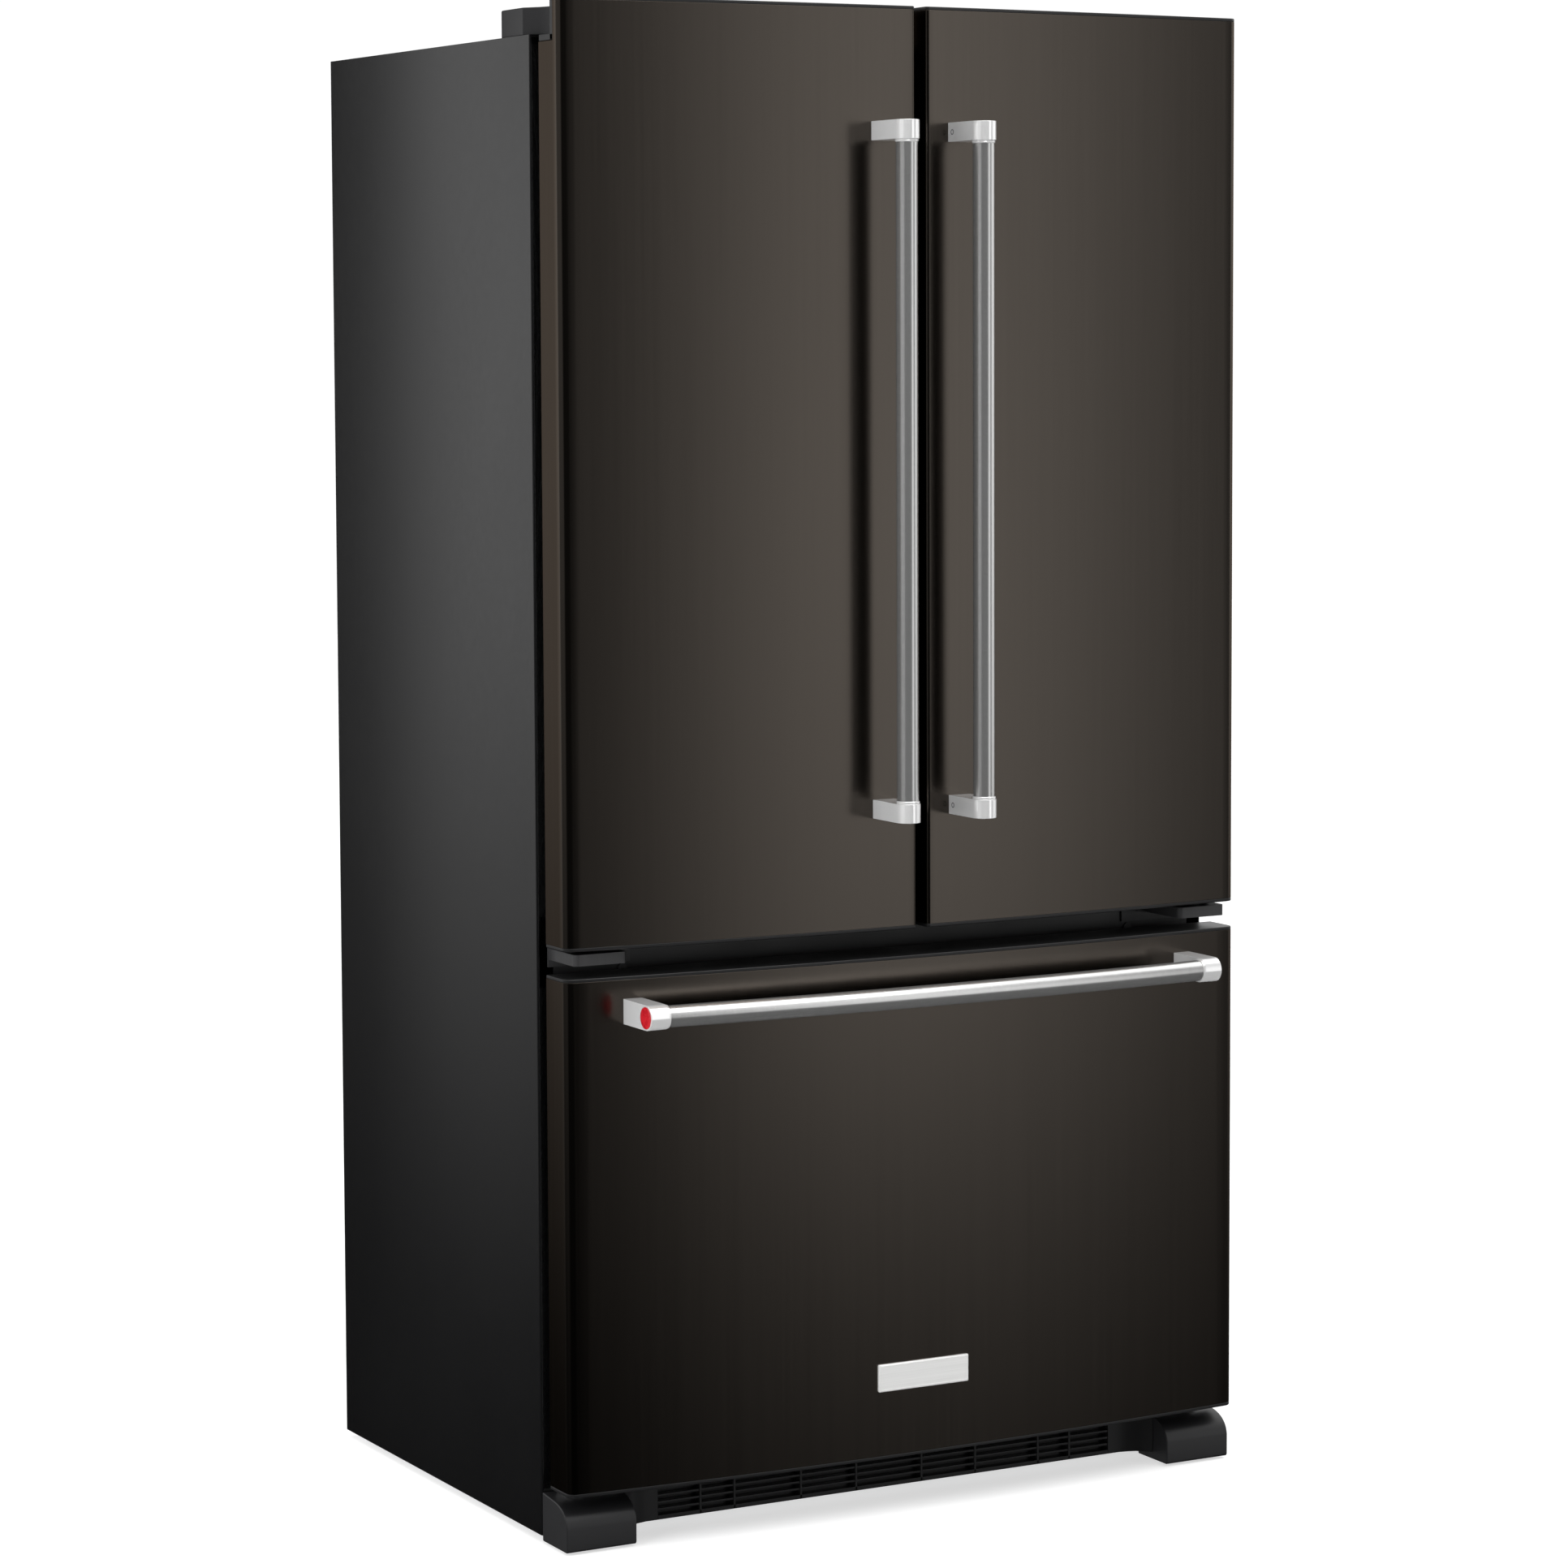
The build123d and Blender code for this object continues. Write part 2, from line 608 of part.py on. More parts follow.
with BuildPart() as drawer_slides_middle:
    for sign in (-1, 1):
        span = sorted((sign * 391.5, sign * 397.6))
        add(slab(span, (at(82), at(525)), (slide_z[0] + 2, slide_z[1] - 2)))
drawer_slides_middle.part.label = "drawer_slides_middle"
export_step(drawer_slides_middle.part, "parts/drawer_slides_middle.step")

with BuildPart() as drawer_slides_inner:
    for sign in (-1, 1):
        span = sorted((sign * 383.0, sign * 391.1))
        add(slab(span, (at(inner_front), at(520)), (slide_z[0] + 1, slide_z[1] - 1)))
        ear = sorted((sign * 360.0, sign * 391.1))
        add(slab(ear, (at(inner_front), at(inner_front + 3)), (slide_z[0] - 30, slide_z[1] - 1)))
drawer_slides_inner.part.label = "drawer_slides_inner"
export_step(drawer_slides_inner.part, "parts/drawer_slides_inner.step")

with BuildPart() as lower_basket:
    add(open_box((-370, 370), (at(72), at(374)), (135, 376), 3))
    for sign in (-1, 1):
        add(slab(sorted((sign * 367.0, sign * 382.0)), (at(72), at(374)), (373, 376)))
lower_basket.part.label = "lower_basket"
export_step(lower_basket.part, "parts/lower_basket.step")

with BuildPart() as upper_basket:
    add(open_box((-372, 372), (at(150), at(525)), (445, 600), 3))
    for sign in (-1, 1):
        add(slab(sorted((sign * 369.0, sign * 400.0)), (at(150), at(525)), (596.3, 600)))
upper_basket.part.label = "upper_basket"
export_step(upper_basket.part, "parts/upper_basket.step")

# ------------------------------------------------------------------ upper doors
inner_edge = door_gap / 2
steel_z = (door_bottom + cap_lip, door_top - cap_lip)
plug = skin + 0.3          # plastic parts sit this far inside the steel's outer face
panel_back = door_back - 2.3
gasket_z = (702.0, 1716.0)
dyke_x = (34.0, 395.0)
dyke_z = (740.0, 1675.0)
dyke_back = at(110)
bin_x = (61.0, 368.0)
bin_heights = (770.0, 1080.0, 1385.0)
bin_depths = (51.3, 190.0)
post_z = (826.0, 1629.0)
post_length = 22.0
post_width = 29.0
collar = 3.0
collar_radius = 13.6
tube_radius = 12.5
notch_back = door_back + 1


cap_plug = 16.0
pin_block_floor = 1690.0
seam = 0.2


def mirrored(sign, low, high):
    """Limits on X for one side of the middle, in rising order."""
    return sorted((sign * low, sign * high))


def door_outline(sign):
    """Low and high X of a door with the radii of its two front edges."""
    span = mirrored(sign, inner_edge, half)
    radii = (edge_radius, free_edge_radius) if sign < 0 else (free_edge_radius, edge_radius)
    return span, radii


def dyke_bars():
    """Pairs of X and Z spans of the four bars of a door's raised rim."""
    bar = 24
    uprights = [(x, dyke_z) for x in ((dyke_x[0], dyke_x[0] + bar), (dyke_x[1] - bar, dyke_x[1]))]
    between = (dyke_x[0] + bar + seam, dyke_x[1] - bar - seam)
    return uprights + [(between, z) for z in ((dyke_z[0], dyke_z[0] + bar), (dyke_z[1] - bar, dyke_z[1]))]


def stadium_post(x, y_back, y_nose, z):
    """A door handle's post: flat sides and a round nose, upright."""
    with BuildPart() as post:
        with BuildSketch(Plane.XY.offset(z[0])):
            with BuildLine():
                side = post_width / 2
                crown = ThreePointArc((x - side, y_nose + side), (x, y_nose), (x + side, y_nose + side))
                Polyline(crown @ 1, (x + side, y_back), (x - side, y_back), crown @ 0)
            make_face()
        extrude(amount=z[1] - z[0])
        top_and_bottom = post.faces().filter_by(Axis.Z).edges()
        chamfer(top_and_bottom, 1)
    return post.part


for side, sign in (("left", -1), ("right", 1)):
    (low, high), radii = door_outline(sign)
    notch_span = mirrored(sign, notch_x, half + 1)
    rim_span = mirrored(sign, notch_x - rim, half + 1)
    hinge = (sign * pin_x, pin_y)

    with BuildPart() as door_skin:
        add(front_block(low, high, radii, steel_z))
        inner_z = (steel_z[0] - 1, steel_z[1] + 1)
        add(front_block(low, high, radii, inner_z, skin, notch_back), mode=Mode.SUBTRACT)
        cut_z = (notch_floor - rim, steel_z[1] + 1)
        add(slab(rim_span, (at(notch_depth - rim), notch_back), cut_z), mode=Mode.SUBTRACT)
    door_skin.part.label = f"{side}_door_skin"
    export_step(door_skin.part, f"parts/{side}_door_skin.step")

    with BuildPart() as door_caps:
        add(front_block(low, high, radii, (door_bottom, steel_z[0])))
        add(front_block(low, high, radii, (steel_z[0] - 1, steel_z[0] + cap_plug), plug, panel_back))
        add(front_block(low, high, radii, (steel_z[1], door_top)))
        add(front_block(low, high, radii, (steel_z[1] - cap_plug, steel_z[1] + 1), plug, panel_back))
        with BuildPart(mode=Mode.PRIVATE) as hinge_block:
            add(front_block(low, high, radii, (notch_floor - rim, steel_z[1] + 1)))
            rim_box = slab(rim_span, (at(notch_depth - rim), door_back), (notch_floor - rim, door_top))
            add(rim_box, mode=Mode.INTERSECT)
        add(hinge_block.part)
        with BuildPart(mode=Mode.PRIVATE) as pin_block:
            add(front_block(low, high, radii, (pin_block_floor, notch_floor - rim + 1), plug, panel_back))
            block_box = slab(rim_span, (at(notch_depth - rim), door_back), (pin_block_floor, door_top))
            add(block_box, mode=Mode.INTERSECT)
        add(pin_block.part)
        notch_z = (notch_floor, door_top + 1)
        add(slab(notch_span, (at(notch_depth), notch_back), notch_z), mode=Mode.SUBTRACT)
        bore_top = notch_floor - pin_block_floor + 2
        for start, length in ((door_bottom - 1, 30), (pin_block_floor - 1, bore_top)):
            add(rod(pin_radius + pin_fit, (*hinge, start), length), mode=Mode.SUBTRACT)
    door_caps.part.label = f"{side}_door_caps"
    export_step(door_caps.part, f"parts/{side}_door_caps.step")

    with BuildPart() as door_core:
        block_x = mirrored(sign, notch_x - rim, half)
        clear_x = mirrored(sign, inner_edge, notch_x - rim - gap)
        low_z, high_z = (steel_z[0] + cap_plug + gap, steel_z[1] - cap_plug - gap)
        for z, region in (
            ((low_z, pin_block_floor - gap), None),
            ((pin_block_floor - gap, high_z), (clear_x, (edge_y - bow, panel_back))),
            ((pin_block_floor - gap, high_z), (block_x, (edge_y - bow, at(notch_depth - rim) - gap))),
        ):
            with BuildPart(mode=Mode.PRIVATE) as foam_block:
                add(front_block(low, high, radii, z, skin + gap, panel_back))
                if region:
                    add(slab(*region, z), mode=Mode.INTERSECT)
            add(foam_block.part)
    door_core.part.label = f"{side}_door_core"
    export_step(door_core.part, f"parts/{side}_door_core.step")

    with BuildPart() as door_liner:
        panel_x = (low + plug, high - plug)
        floor_z = notch_floor - rim - gap
        clear_x = mirrored(sign, inner_edge + plug, notch_x - rim - gap)
        add(slab(panel_x, (panel_back + 0.2, door_back), (steel_z[0] + gap, floor_z)))
        add(slab(clear_x, (panel_back + 0.2, door_back), (floor_z + seam, steel_z[1] - gap)))
        for x, z in dyke_bars():
            add(slab(mirrored(sign, *x), (door_back + seam, dyke_back), z))
        if sign < 0:
            for z in (dyke_z[0] + 10, dyke_z[1] - 16):
                add(slab((-dyke_x[0] + seam, -13.0), (at(76), at(92)), (z, z + 6)))
                add(rod(3 + pin_fit, (-20.0, at(84), z - 1), 8), mode=Mode.SUBTRACT)
    door_liner.part.label = f"{side}_door_liner"
    export_step(door_liner.part, f"parts/{side}_door_liner.step")

    with BuildPart() as door_gasket:
        add(frame_ring(mirrored(sign, 4.5, 428), gasket_z, 22, (door_back + 0.1, cabinet_front - gap)))
    door_gasket.part.label = f"{side}_door_gasket"
    export_step(door_gasket.part, f"parts/{side}_door_gasket.step")

    with BuildPart() as door_bins:
        depths = (at(bin_depths[0]), at(bin_depths[1]))
        for base in bin_heights:
            add(open_box(mirrored(sign, *bin_x), depths, (base, base + 105), 3))
    door_bins.part.label = f"{side}_door_bins"
    export_step(door_bins.part, f"parts/{side}_door_bins.step")

    axis_x = sign * handle_x
    nose_y = edge_y - nose
    axis_y = nose_y + post_width / 2
    with BuildPart() as handle_posts:
        for start, collar_start in (
            (post_z[0], post_z[0] + post_length),
            (post_z[1] - post_length, post_z[1] - post_length - collar),
        ):
            add(stadium_post(axis_x, edge_y, nose_y, (start, start + post_length)))
            add(rod(collar_radius, (axis_x, axis_y, collar_start), collar))
        add(front_block(low, high, radii, (post_z[0] - 5, post_z[1] + 5)), mode=Mode.SUBTRACT)
    handle_posts.part.label = f"{side}_handle_posts"
    export_step(handle_posts.part, f"parts/{side}_handle_posts.step")

    with BuildPart() as handle_tube:
        reach = post_length + collar
        add(rod(tube_radius, (axis_x, axis_y, post_z[0] + reach), post_z[1] - post_z[0] - 2 * reach))
    handle_tube.part.label = f"{side}_handle_tube"
    export_step(handle_tube.part, f"parts/{side}_handle_tube.step")

# Flap on the left door that closes the gap between the doors, shown folded back.
flap_axis = (-20.0, at(84))
flap_z = (dyke_z[0] + 16.5, dyke_z[1] - 16.5)
with BuildPart() as mullion_flap:
    with BuildSketch(Plane.XY.offset(flap_z[0])):
        with Locations(flap_axis):
            Circle(8)
        with Locations((flap_axis[0], flap_axis[1] + 24)):
            Rectangle(16, 48)
    extrude(amount=flap_z[1] - flap_z[0])
    fillet(mullion_flap.edges().filter_by(Axis.Z).group_by(Axis.Y)[-1], 2)
    add(rod(3, (*flap_axis, flap_z[0] - 5), flap_z[1] - flap_z[0] + 10))
mullion_flap.part.label = "mullion_flap"
export_step(mullion_flap.part, "parts/mullion_flap.step")

# ------------------------------------------------------------------ freezer drawer front
drawer_radii = (edge_radius, edge_radius)
drawer_steel = (drawer_bottom + cap_lip, drawer_top - cap_lip)

with BuildPart() as drawer_skin:
    add(front_block(-half, half, drawer_radii, drawer_steel))
    inner_z = (drawer_steel[0] - 1, drawer_steel[1] + 1)
    add(front_block(-half, half, drawer_radii, inner_z, skin, notch_back), mode=Mode.SUBTRACT)
drawer_skin.part.label = "drawer_skin"
export_step(drawer_skin.part, "parts/drawer_skin.step")

with BuildPart() as drawer_caps:
    for lip, inside in (
        ((drawer_bottom, drawer_steel[0]), (drawer_steel[0] - 1, drawer_steel[0] + cap_plug)),
        ((drawer_steel[1], drawer_top), (drawer_steel[1] - cap_plug, drawer_steel[1] + 1)),
    ):
        add(front_block(-half, half, drawer_radii, lip))
        add(front_block(-half, half, drawer_radii, inside, plug, panel_back))
drawer_caps.part.label = "drawer_caps"
export_step(drawer_caps.part, "parts/drawer_caps.step")

with BuildPart() as drawer_core:
    core_z = (drawer_steel[0] + cap_plug + gap, drawer_steel[1] - cap_plug - gap)
    add(front_block(-half, half, drawer_radii, core_z, skin + gap, panel_back))
drawer_core.part.label = "drawer_core"
export_step(drawer_core.part, "parts/drawer_core.step")

with BuildPart() as drawer_liner:
    span = (-half + plug, half - plug)
    add(slab(span, (panel_back + 0.2, door_back), (drawer_steel[0] + 0.3, drawer_steel[1] - 0.3)))
    add(slab((-395, 395), (door_back - 0.5, at(66)), (115, 625)))
drawer_liner.part.label = "drawer_liner"
export_step(drawer_liner.part, "parts/drawer_liner.step")

with BuildPart() as drawer_gasket:
    add(frame_ring((-440, 440), (80, 656), 22, (door_back + 0.1, cabinet_front - gap)))
drawer_gasket.part.label = "drawer_gasket"
export_step(drawer_gasket.part, "parts/drawer_gasket.step")

bar_z = 623.0
bar_posts = (361.0, 383.0)
bar_reach = handle_reach - post_width / 2


def bar_axis(low, high):
    """Arc of the drawer handle's axis between two places on X."""
    places = [(x, edge_y - bow_at(x) - bar_reach, bar_z) for x in (low, (low + high) / 2, high)]
    return ThreePointArc(*places)


with BuildPart() as drawer_handle_posts:
    for sign in (-1, 1):
        middle = sign * sum(bar_posts) / 2
        nose_y = edge_y - bow_at(middle) - handle_reach
        start = min(sign * bar_posts[0], sign * bar_posts[1])
        with BuildSketch(Plane(origin=(start, 0, 0), x_dir=(0, 1, 0), z_dir=(1, 0, 0))):
            with BuildLine():
                side = post_width / 2
                crown = ThreePointArc(
                    (nose_y + side, bar_z - side), (nose_y, bar_z), (nose_y + side, bar_z + side))
                Polyline(crown @ 1, (edge_y, bar_z + side), (edge_y, bar_z - side), crown @ 0)
            make_face()
        extrude(amount=bar_posts[1] - bar_posts[0])
    chamfer(drawer_handle_posts.faces().filter_by(Axis.X).edges(), 1)
    inner = bar_posts[0]
    for low, high in ((-inner - 3, -inner + collar), (inner - collar, inner + 3)):
        with BuildLine() as path:
            bar_axis(low, high)
        with BuildSketch(Plane(origin=path.line @ 0, z_dir=path.line % 0)):
            Circle(collar_radius)
        sweep(path=path.line)
    add(front_block(-half, half, drawer_radii, (bar_z - 40, bar_z + 20)), mode=Mode.SUBTRACT)
drawer_handle_posts.part.label = "drawer_handle_posts"
export_step(drawer_handle_posts.part, "parts/drawer_handle_posts.step")

with BuildPart() as drawer_handle_tube:
    with BuildLine() as path:
        bar_axis(-bar_posts[0] + collar + 0.1, bar_posts[0] - collar - 0.1)
    with BuildSketch(Plane(origin=path.line @ 0, z_dir=path.line % 0)):
        Circle(tube_radius)
    sweep(path=path.line)
drawer_handle_tube.part.label = "drawer_handle_tube"
export_step(drawer_handle_tube.part, "parts/drawer_handle_tube.step")

with BuildPart() as medallion:
    middle = sum(bar_posts) / 2
    add(rod(12.5, (-bar_posts[1] - 1.2, edge_y - bow_at(middle) - bar_reach, bar_z), 1.2, "X"))
    fillet(medallion.edges().group_by(Axis.X)[0], 0.5)
medallion.part.label = "medallion"
export_step(medallion.part, "parts/medallion.step")

badge_z = (150.0, 182.5)
with BuildPart() as badge_plate:
    face = edge_y - bow - 3.5
    add(slab((-61, 61), (face, edge_y), badge_z))
    chamfer(badge_plate.faces().sort_by(Axis.Y)[0].edges(), 1.4)
    add(front_block(-half, half, drawer_radii, (badge_z[0] - 5, badge_z[1] + 5)), mode=Mode.SUBTRACT)
badge_plate.part.label = "badge_plate"
export_step(badge_plate.part, "parts/badge_plate.step")
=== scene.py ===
"""Visual model of a french door refrigerator with a bottom freezer drawer.

Two bowed doors of dark brushed steel swing above a wide drawer. Each front has moulded end caps, a
soft gasket and a bar handle on chromed posts. Inside are moulded liners, glass shelves, clear bins
and baskets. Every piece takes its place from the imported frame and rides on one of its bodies.
"""

from __future__ import annotations

import json
import logging
import math
from dataclasses import dataclass
from enum import Enum
from typing import Iterable, Sequence

import bmesh
import bpy
import numpy as np
from mathutils import Matrix, Vector

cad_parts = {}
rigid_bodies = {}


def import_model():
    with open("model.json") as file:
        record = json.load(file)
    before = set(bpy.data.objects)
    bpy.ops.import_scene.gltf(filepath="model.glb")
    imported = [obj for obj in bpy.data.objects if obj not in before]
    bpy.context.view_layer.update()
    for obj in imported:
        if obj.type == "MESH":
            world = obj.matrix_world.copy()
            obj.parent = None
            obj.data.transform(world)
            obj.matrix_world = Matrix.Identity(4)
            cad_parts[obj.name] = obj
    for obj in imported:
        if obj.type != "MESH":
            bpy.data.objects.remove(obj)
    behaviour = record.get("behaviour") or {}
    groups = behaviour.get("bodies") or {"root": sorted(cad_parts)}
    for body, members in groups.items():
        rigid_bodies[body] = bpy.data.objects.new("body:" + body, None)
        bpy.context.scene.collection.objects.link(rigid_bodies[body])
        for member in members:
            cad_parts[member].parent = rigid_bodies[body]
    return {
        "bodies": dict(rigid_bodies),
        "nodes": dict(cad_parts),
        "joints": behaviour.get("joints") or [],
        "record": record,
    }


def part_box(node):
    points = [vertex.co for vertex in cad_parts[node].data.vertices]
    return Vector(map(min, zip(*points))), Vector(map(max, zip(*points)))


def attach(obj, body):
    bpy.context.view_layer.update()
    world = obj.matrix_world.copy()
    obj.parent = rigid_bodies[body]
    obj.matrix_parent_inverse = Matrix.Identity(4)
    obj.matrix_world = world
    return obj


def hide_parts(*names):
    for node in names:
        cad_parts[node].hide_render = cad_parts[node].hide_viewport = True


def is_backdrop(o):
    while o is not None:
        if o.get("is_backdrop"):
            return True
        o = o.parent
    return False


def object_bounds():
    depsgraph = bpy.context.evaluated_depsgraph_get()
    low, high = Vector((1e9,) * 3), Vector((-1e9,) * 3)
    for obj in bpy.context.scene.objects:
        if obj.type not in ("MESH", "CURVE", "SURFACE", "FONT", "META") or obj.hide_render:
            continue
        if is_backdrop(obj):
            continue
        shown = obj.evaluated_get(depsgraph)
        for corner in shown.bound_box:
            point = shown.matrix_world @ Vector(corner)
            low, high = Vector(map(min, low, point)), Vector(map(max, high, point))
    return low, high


Array = np.ndarray
Object = bpy.types.Object
Socket = bpy.types.NodeSocket
Span = tuple[float, float]
Colour = tuple[float, float, float]

LOG = logging.getLogger("refrigerator")
MM = 0.001


# ---------------------------------------------------------------------------- mesh tools


class Axis(Enum):
    """Direction that an outline is extruded along, with the two directions of its own plane."""

    X = (1, 2, 0)
    Y = (0, 2, 1)
    Z = (0, 1, 2)


def place(flat: Array, along: Array | float, axis: Axis) -> Array:
    """Put plane coordinates and a distance along an axis into X, Y, Z order.

    Args:
        flat: Array of shape (..., 2) with coordinates in the axis's own plane.
        along: Distance along the axis, one value or one for each point.
        axis: The axis.

    Returns:
        Array of shape (..., 3).
    """
    points = np.empty((*flat.shape[:-1], 3))
    points[..., axis.value[0]] = flat[..., 0]
    points[..., axis.value[1]] = flat[..., 1]
    points[..., axis.value[2]] = along
    return points


def grid_quads(rows: int, cols: int, wrap_rows: bool = False, wrap_cols: bool = False) -> Array:
    """Quads of a grid of points numbered row by row.

    Args:
        rows: Number of rows of points.
        cols: Number of points in a row.
        wrap_rows: Join the last row to the first.
        wrap_cols: Join the end of each row to its start.

    Returns:
        Array of shape (n, 4) with point numbers.
    """
    row = np.arange(rows if wrap_rows else rows - 1)[:, None]
    col = np.arange(cols if wrap_cols else cols - 1)[None, :]
    next_row, next_col = (row + 1) % rows, (col + 1) % cols
    corners = (row * cols + col, row * cols + next_col, next_row * cols + next_col, next_row * cols + col)
    return np.stack(np.broadcast_arrays(*corners), axis=-1).reshape(-1, 4)


def make_object(name: str, points: Array, faces: Iterable[Sequence[int]], outward: bool = True) -> Object:
    """Make a mesh object at the origin, smooth but for its sharp edges.

    Args:
        name: The piece's name.
        points: Array of shape (n, 3) in metres.
        faces: Point numbers of each face.
        outward: Turn the faces of a closed form outwards.

    Returns:
        The object, linked to the scene.
    """
    mesh = bpy.data.meshes.new(name)
    mesh.from_pydata(points.reshape(-1, 3).tolist(), [], [list(face) for face in faces])
    if outward:
        work = bmesh.new()
        work.from_mesh(mesh)
        bmesh.ops.recalc_face_normals(work, faces=work.faces)
        work.to_mesh(mesh)
        work.free()
    mesh.shade_smooth()
    mesh.set_sharp_from_angle(angle=math.radians(32))
    made = bpy.data.objects.new(name, mesh)
    bpy.context.scene.collection.objects.link(made)
    return made


def loft(name: str, loops: Array, ring: bool = False) -> Object:
    """Skin closed loops of equal length, and cap both ends unless the loops form a ring.

    Args:
        name: The piece's name.
        loops: Array of shape (loops, points, 3).
        ring: Join the last loop to the first.

    Returns:
        A closed mesh object.
    """
    rows, cols = loops.shape[:2]
    faces = grid_quads(rows, cols, wrap_rows=ring, wrap_cols=True).tolist()
    if not ring:
        faces += [list(range(cols))[::-1], list(range((rows - 1) * cols, rows * cols))]
    return make_object(name, loops, faces)


def prism(
    name: str, outline: Array, span: Span, axis: Axis = Axis.Z, edge: float = 0.0, steps: int = 3
) -> Object:
    """Extrude a closed outline and round its edges.

    Args:
        name: The piece's name.
        outline: Array of shape (n, 2) in the axis's plane.
        span: Low and high ends along the axis.
        axis: Direction of the extrusion.
        edge: Radius of the rounded edges, or 0 for none.
        steps: Segments of the rounding.

    Returns:
        A closed mesh object.
    """
    made = loft(name, np.stack([place(outline, end, axis) for end in span]))
    if edge:
        round_edges(made, edge, steps)
    return made


def round_edges(made: Object, radius: float, steps: int = 3, angle: float = 32.0) -> None:
    """Round a piece's sharp edges with a bevel modifier."""
    bevel = made.modifiers.new("Rounded edges", "BEVEL")
    bevel.width = radius
    bevel.segments = steps
    bevel.limit_method = "ANGLE"
    bevel.angle_limit = math.radians(angle)
    bevel.harden_normals = True
    bevel.use_clamp_overlap = True


def thicken(made: Object, wall: float, inwards: bool = True, edge: float = 0.3 * MM) -> None:
    """Give a sheet its wall with a solidify modifier, and round the cut edges."""
    solid = made.modifiers.new("Wall", "SOLIDIFY")
    solid.thickness = wall
    solid.offset = -1.0 if inwards else 1.0
    solid.use_even_offset = True
    round_edges(made, edge, 2, 50.0)


def box_outline(first: Span, second: Span) -> Array:
    """Four corners of a rectangle, from its spans in a plane."""
    (a, b), (c, d) = sorted(first), sorted(second)
    return np.array([(a, c), (b, c), (b, d), (a, d)])


def arc(centre: Span, radius: float, start: float, end: float, count: int) -> Array:
    """Points of an arc in a plane, from a start to an end angle in degrees."""
    turn = np.radians(np.linspace(start, end, count))
    return np.asarray(centre) + radius * np.column_stack([np.cos(turn), np.sin(turn)])


def rounded_outline(first: Span, second: Span, radius: float, steps: int = 6) -> Array:
    """Rectangle with corner arcs: four arcs of equal steps, joined by the straight sides.

    Args:
        first: Span in the plane's first direction.
        second: Span in its second direction.
        radius: Corner radius, held below half of the shorter side.
        steps: Segments in each corner.

    Returns:
        Array of shape (4 * (steps + 1), 2), counter-clockwise.
    """
    (a, b), (c, d) = sorted(first), sorted(second)
    radius = min(radius, (b - a) / 2.001, (d - c) / 2.001)
    right, left, top, bottom = b - radius, a + radius, d - radius, c + radius
    centres = np.array([(right, top), (left, top), (left, bottom), (right, bottom)])
    angles = np.radians(np.linspace(0, 90, steps + 1)[None, :] + 90 * np.arange(4)[:, None])
    arcs = centres[:, None, :] + radius * np.stack([np.cos(angles), np.sin(angles)], axis=-1)
    return arcs.reshape(-1, 2)


def disc_loops(profile: Array, centre: Sequence[float], axis: Axis, steps: int = 48) -> Array:
    """Turn a profile about an axis: each pair is a radius and a distance along it.

    Args:
        profile: Array of shape (n, 2) with radius and distance.
        centre: Centre in the axis's plane.
        axis: Axis of the turning.
        steps: Points around.

    Returns:
        Loops of shape (n, steps, 3).
    """
    angles = np.linspace(0, 2 * math.pi, steps, endpoint=False)
    around = np.stack([np.cos(angles), np.sin(angles)], axis=-1)
    flat = profile[:, None, :1] * around[None] + np.asarray(centre)[None, None]
    return place(flat, np.broadcast_to(profile[:, None, 1], flat.shape[:2]), axis)


def turned(
    name: str, profile: Sequence[Span], centre: Sequence[float], axis: Axis, steps: int = 48
) -> Object:
    """Closed turned piece from radius and distance pairs."""
    return loft(name, disc_loops(np.array(profile), centre, axis, steps))


def joined(name: str, pieces: Sequence[Object], edge: float = 0.0, steps: int = 3) -> Object:
    """Join the meshes of several pieces into one object and round its edges.

    Args:
        name: Name of the joined piece.
        pieces: The pieces, which are removed.
        edge: Radius of the rounded edges, or 0 for none.
        steps: Segments of the rounding.

    Returns:
        One object with all their faces.
    """
    work = bmesh.new()
    for piece in pieces:
        work.from_mesh(piece.data)
        bpy.data.objects.remove(piece)
    mesh = bpy.data.meshes.new(name)
    work.to_mesh(mesh)
    work.free()
    made = bpy.data.objects.new(name, mesh)
    bpy.context.scene.collection.objects.link(made)
    if edge:
        round_edges(made, edge, steps)
    return made


def solids_of(node: Object) -> list[tuple[Vector, Vector]]:
    """Boxes of the separate solids in a node, lowest first.

    Points that share a place are one point. Each triangle passes the lowest label among its
    corners to all three until no label changes, so each solid ends with one label.

    Args:
        node: A node's object in the frame.

    Returns:
        Low and high corner of each solid.
    """
    mesh = node.data
    points = np.empty(len(mesh.vertices) * 3)
    mesh.vertices.foreach_get("co", points)
    points = points.reshape(-1, 3)
    corners = np.empty(len(mesh.loops), dtype=int)
    mesh.loops.foreach_get("vertex_index", corners)
    unique, place_of = np.unique(np.round(points, 5), axis=0, return_inverse=True)
    triangles = place_of.reshape(-1)[corners].reshape(-1, 3)
    labels = np.arange(len(unique))
    while True:
        lowest = labels[triangles].min(axis=1)
        passed = labels.copy()
        for corner in range(3):
            np.minimum.at(passed, triangles[:, corner], lowest)
        passed = passed[passed]
        if np.array_equal(passed, labels):
            break
        labels = passed
    boxes = [unique[labels == label] for label in np.unique(labels)]
    pairs = [(Vector(part.min(axis=0)), Vector(part.max(axis=0))) for part in boxes]
    return sorted(pairs, key=lambda pair: (round(pair[0].z, 3), round(pair[0].x, 3)))


# ---------------------------------------------------------------------------- finishes


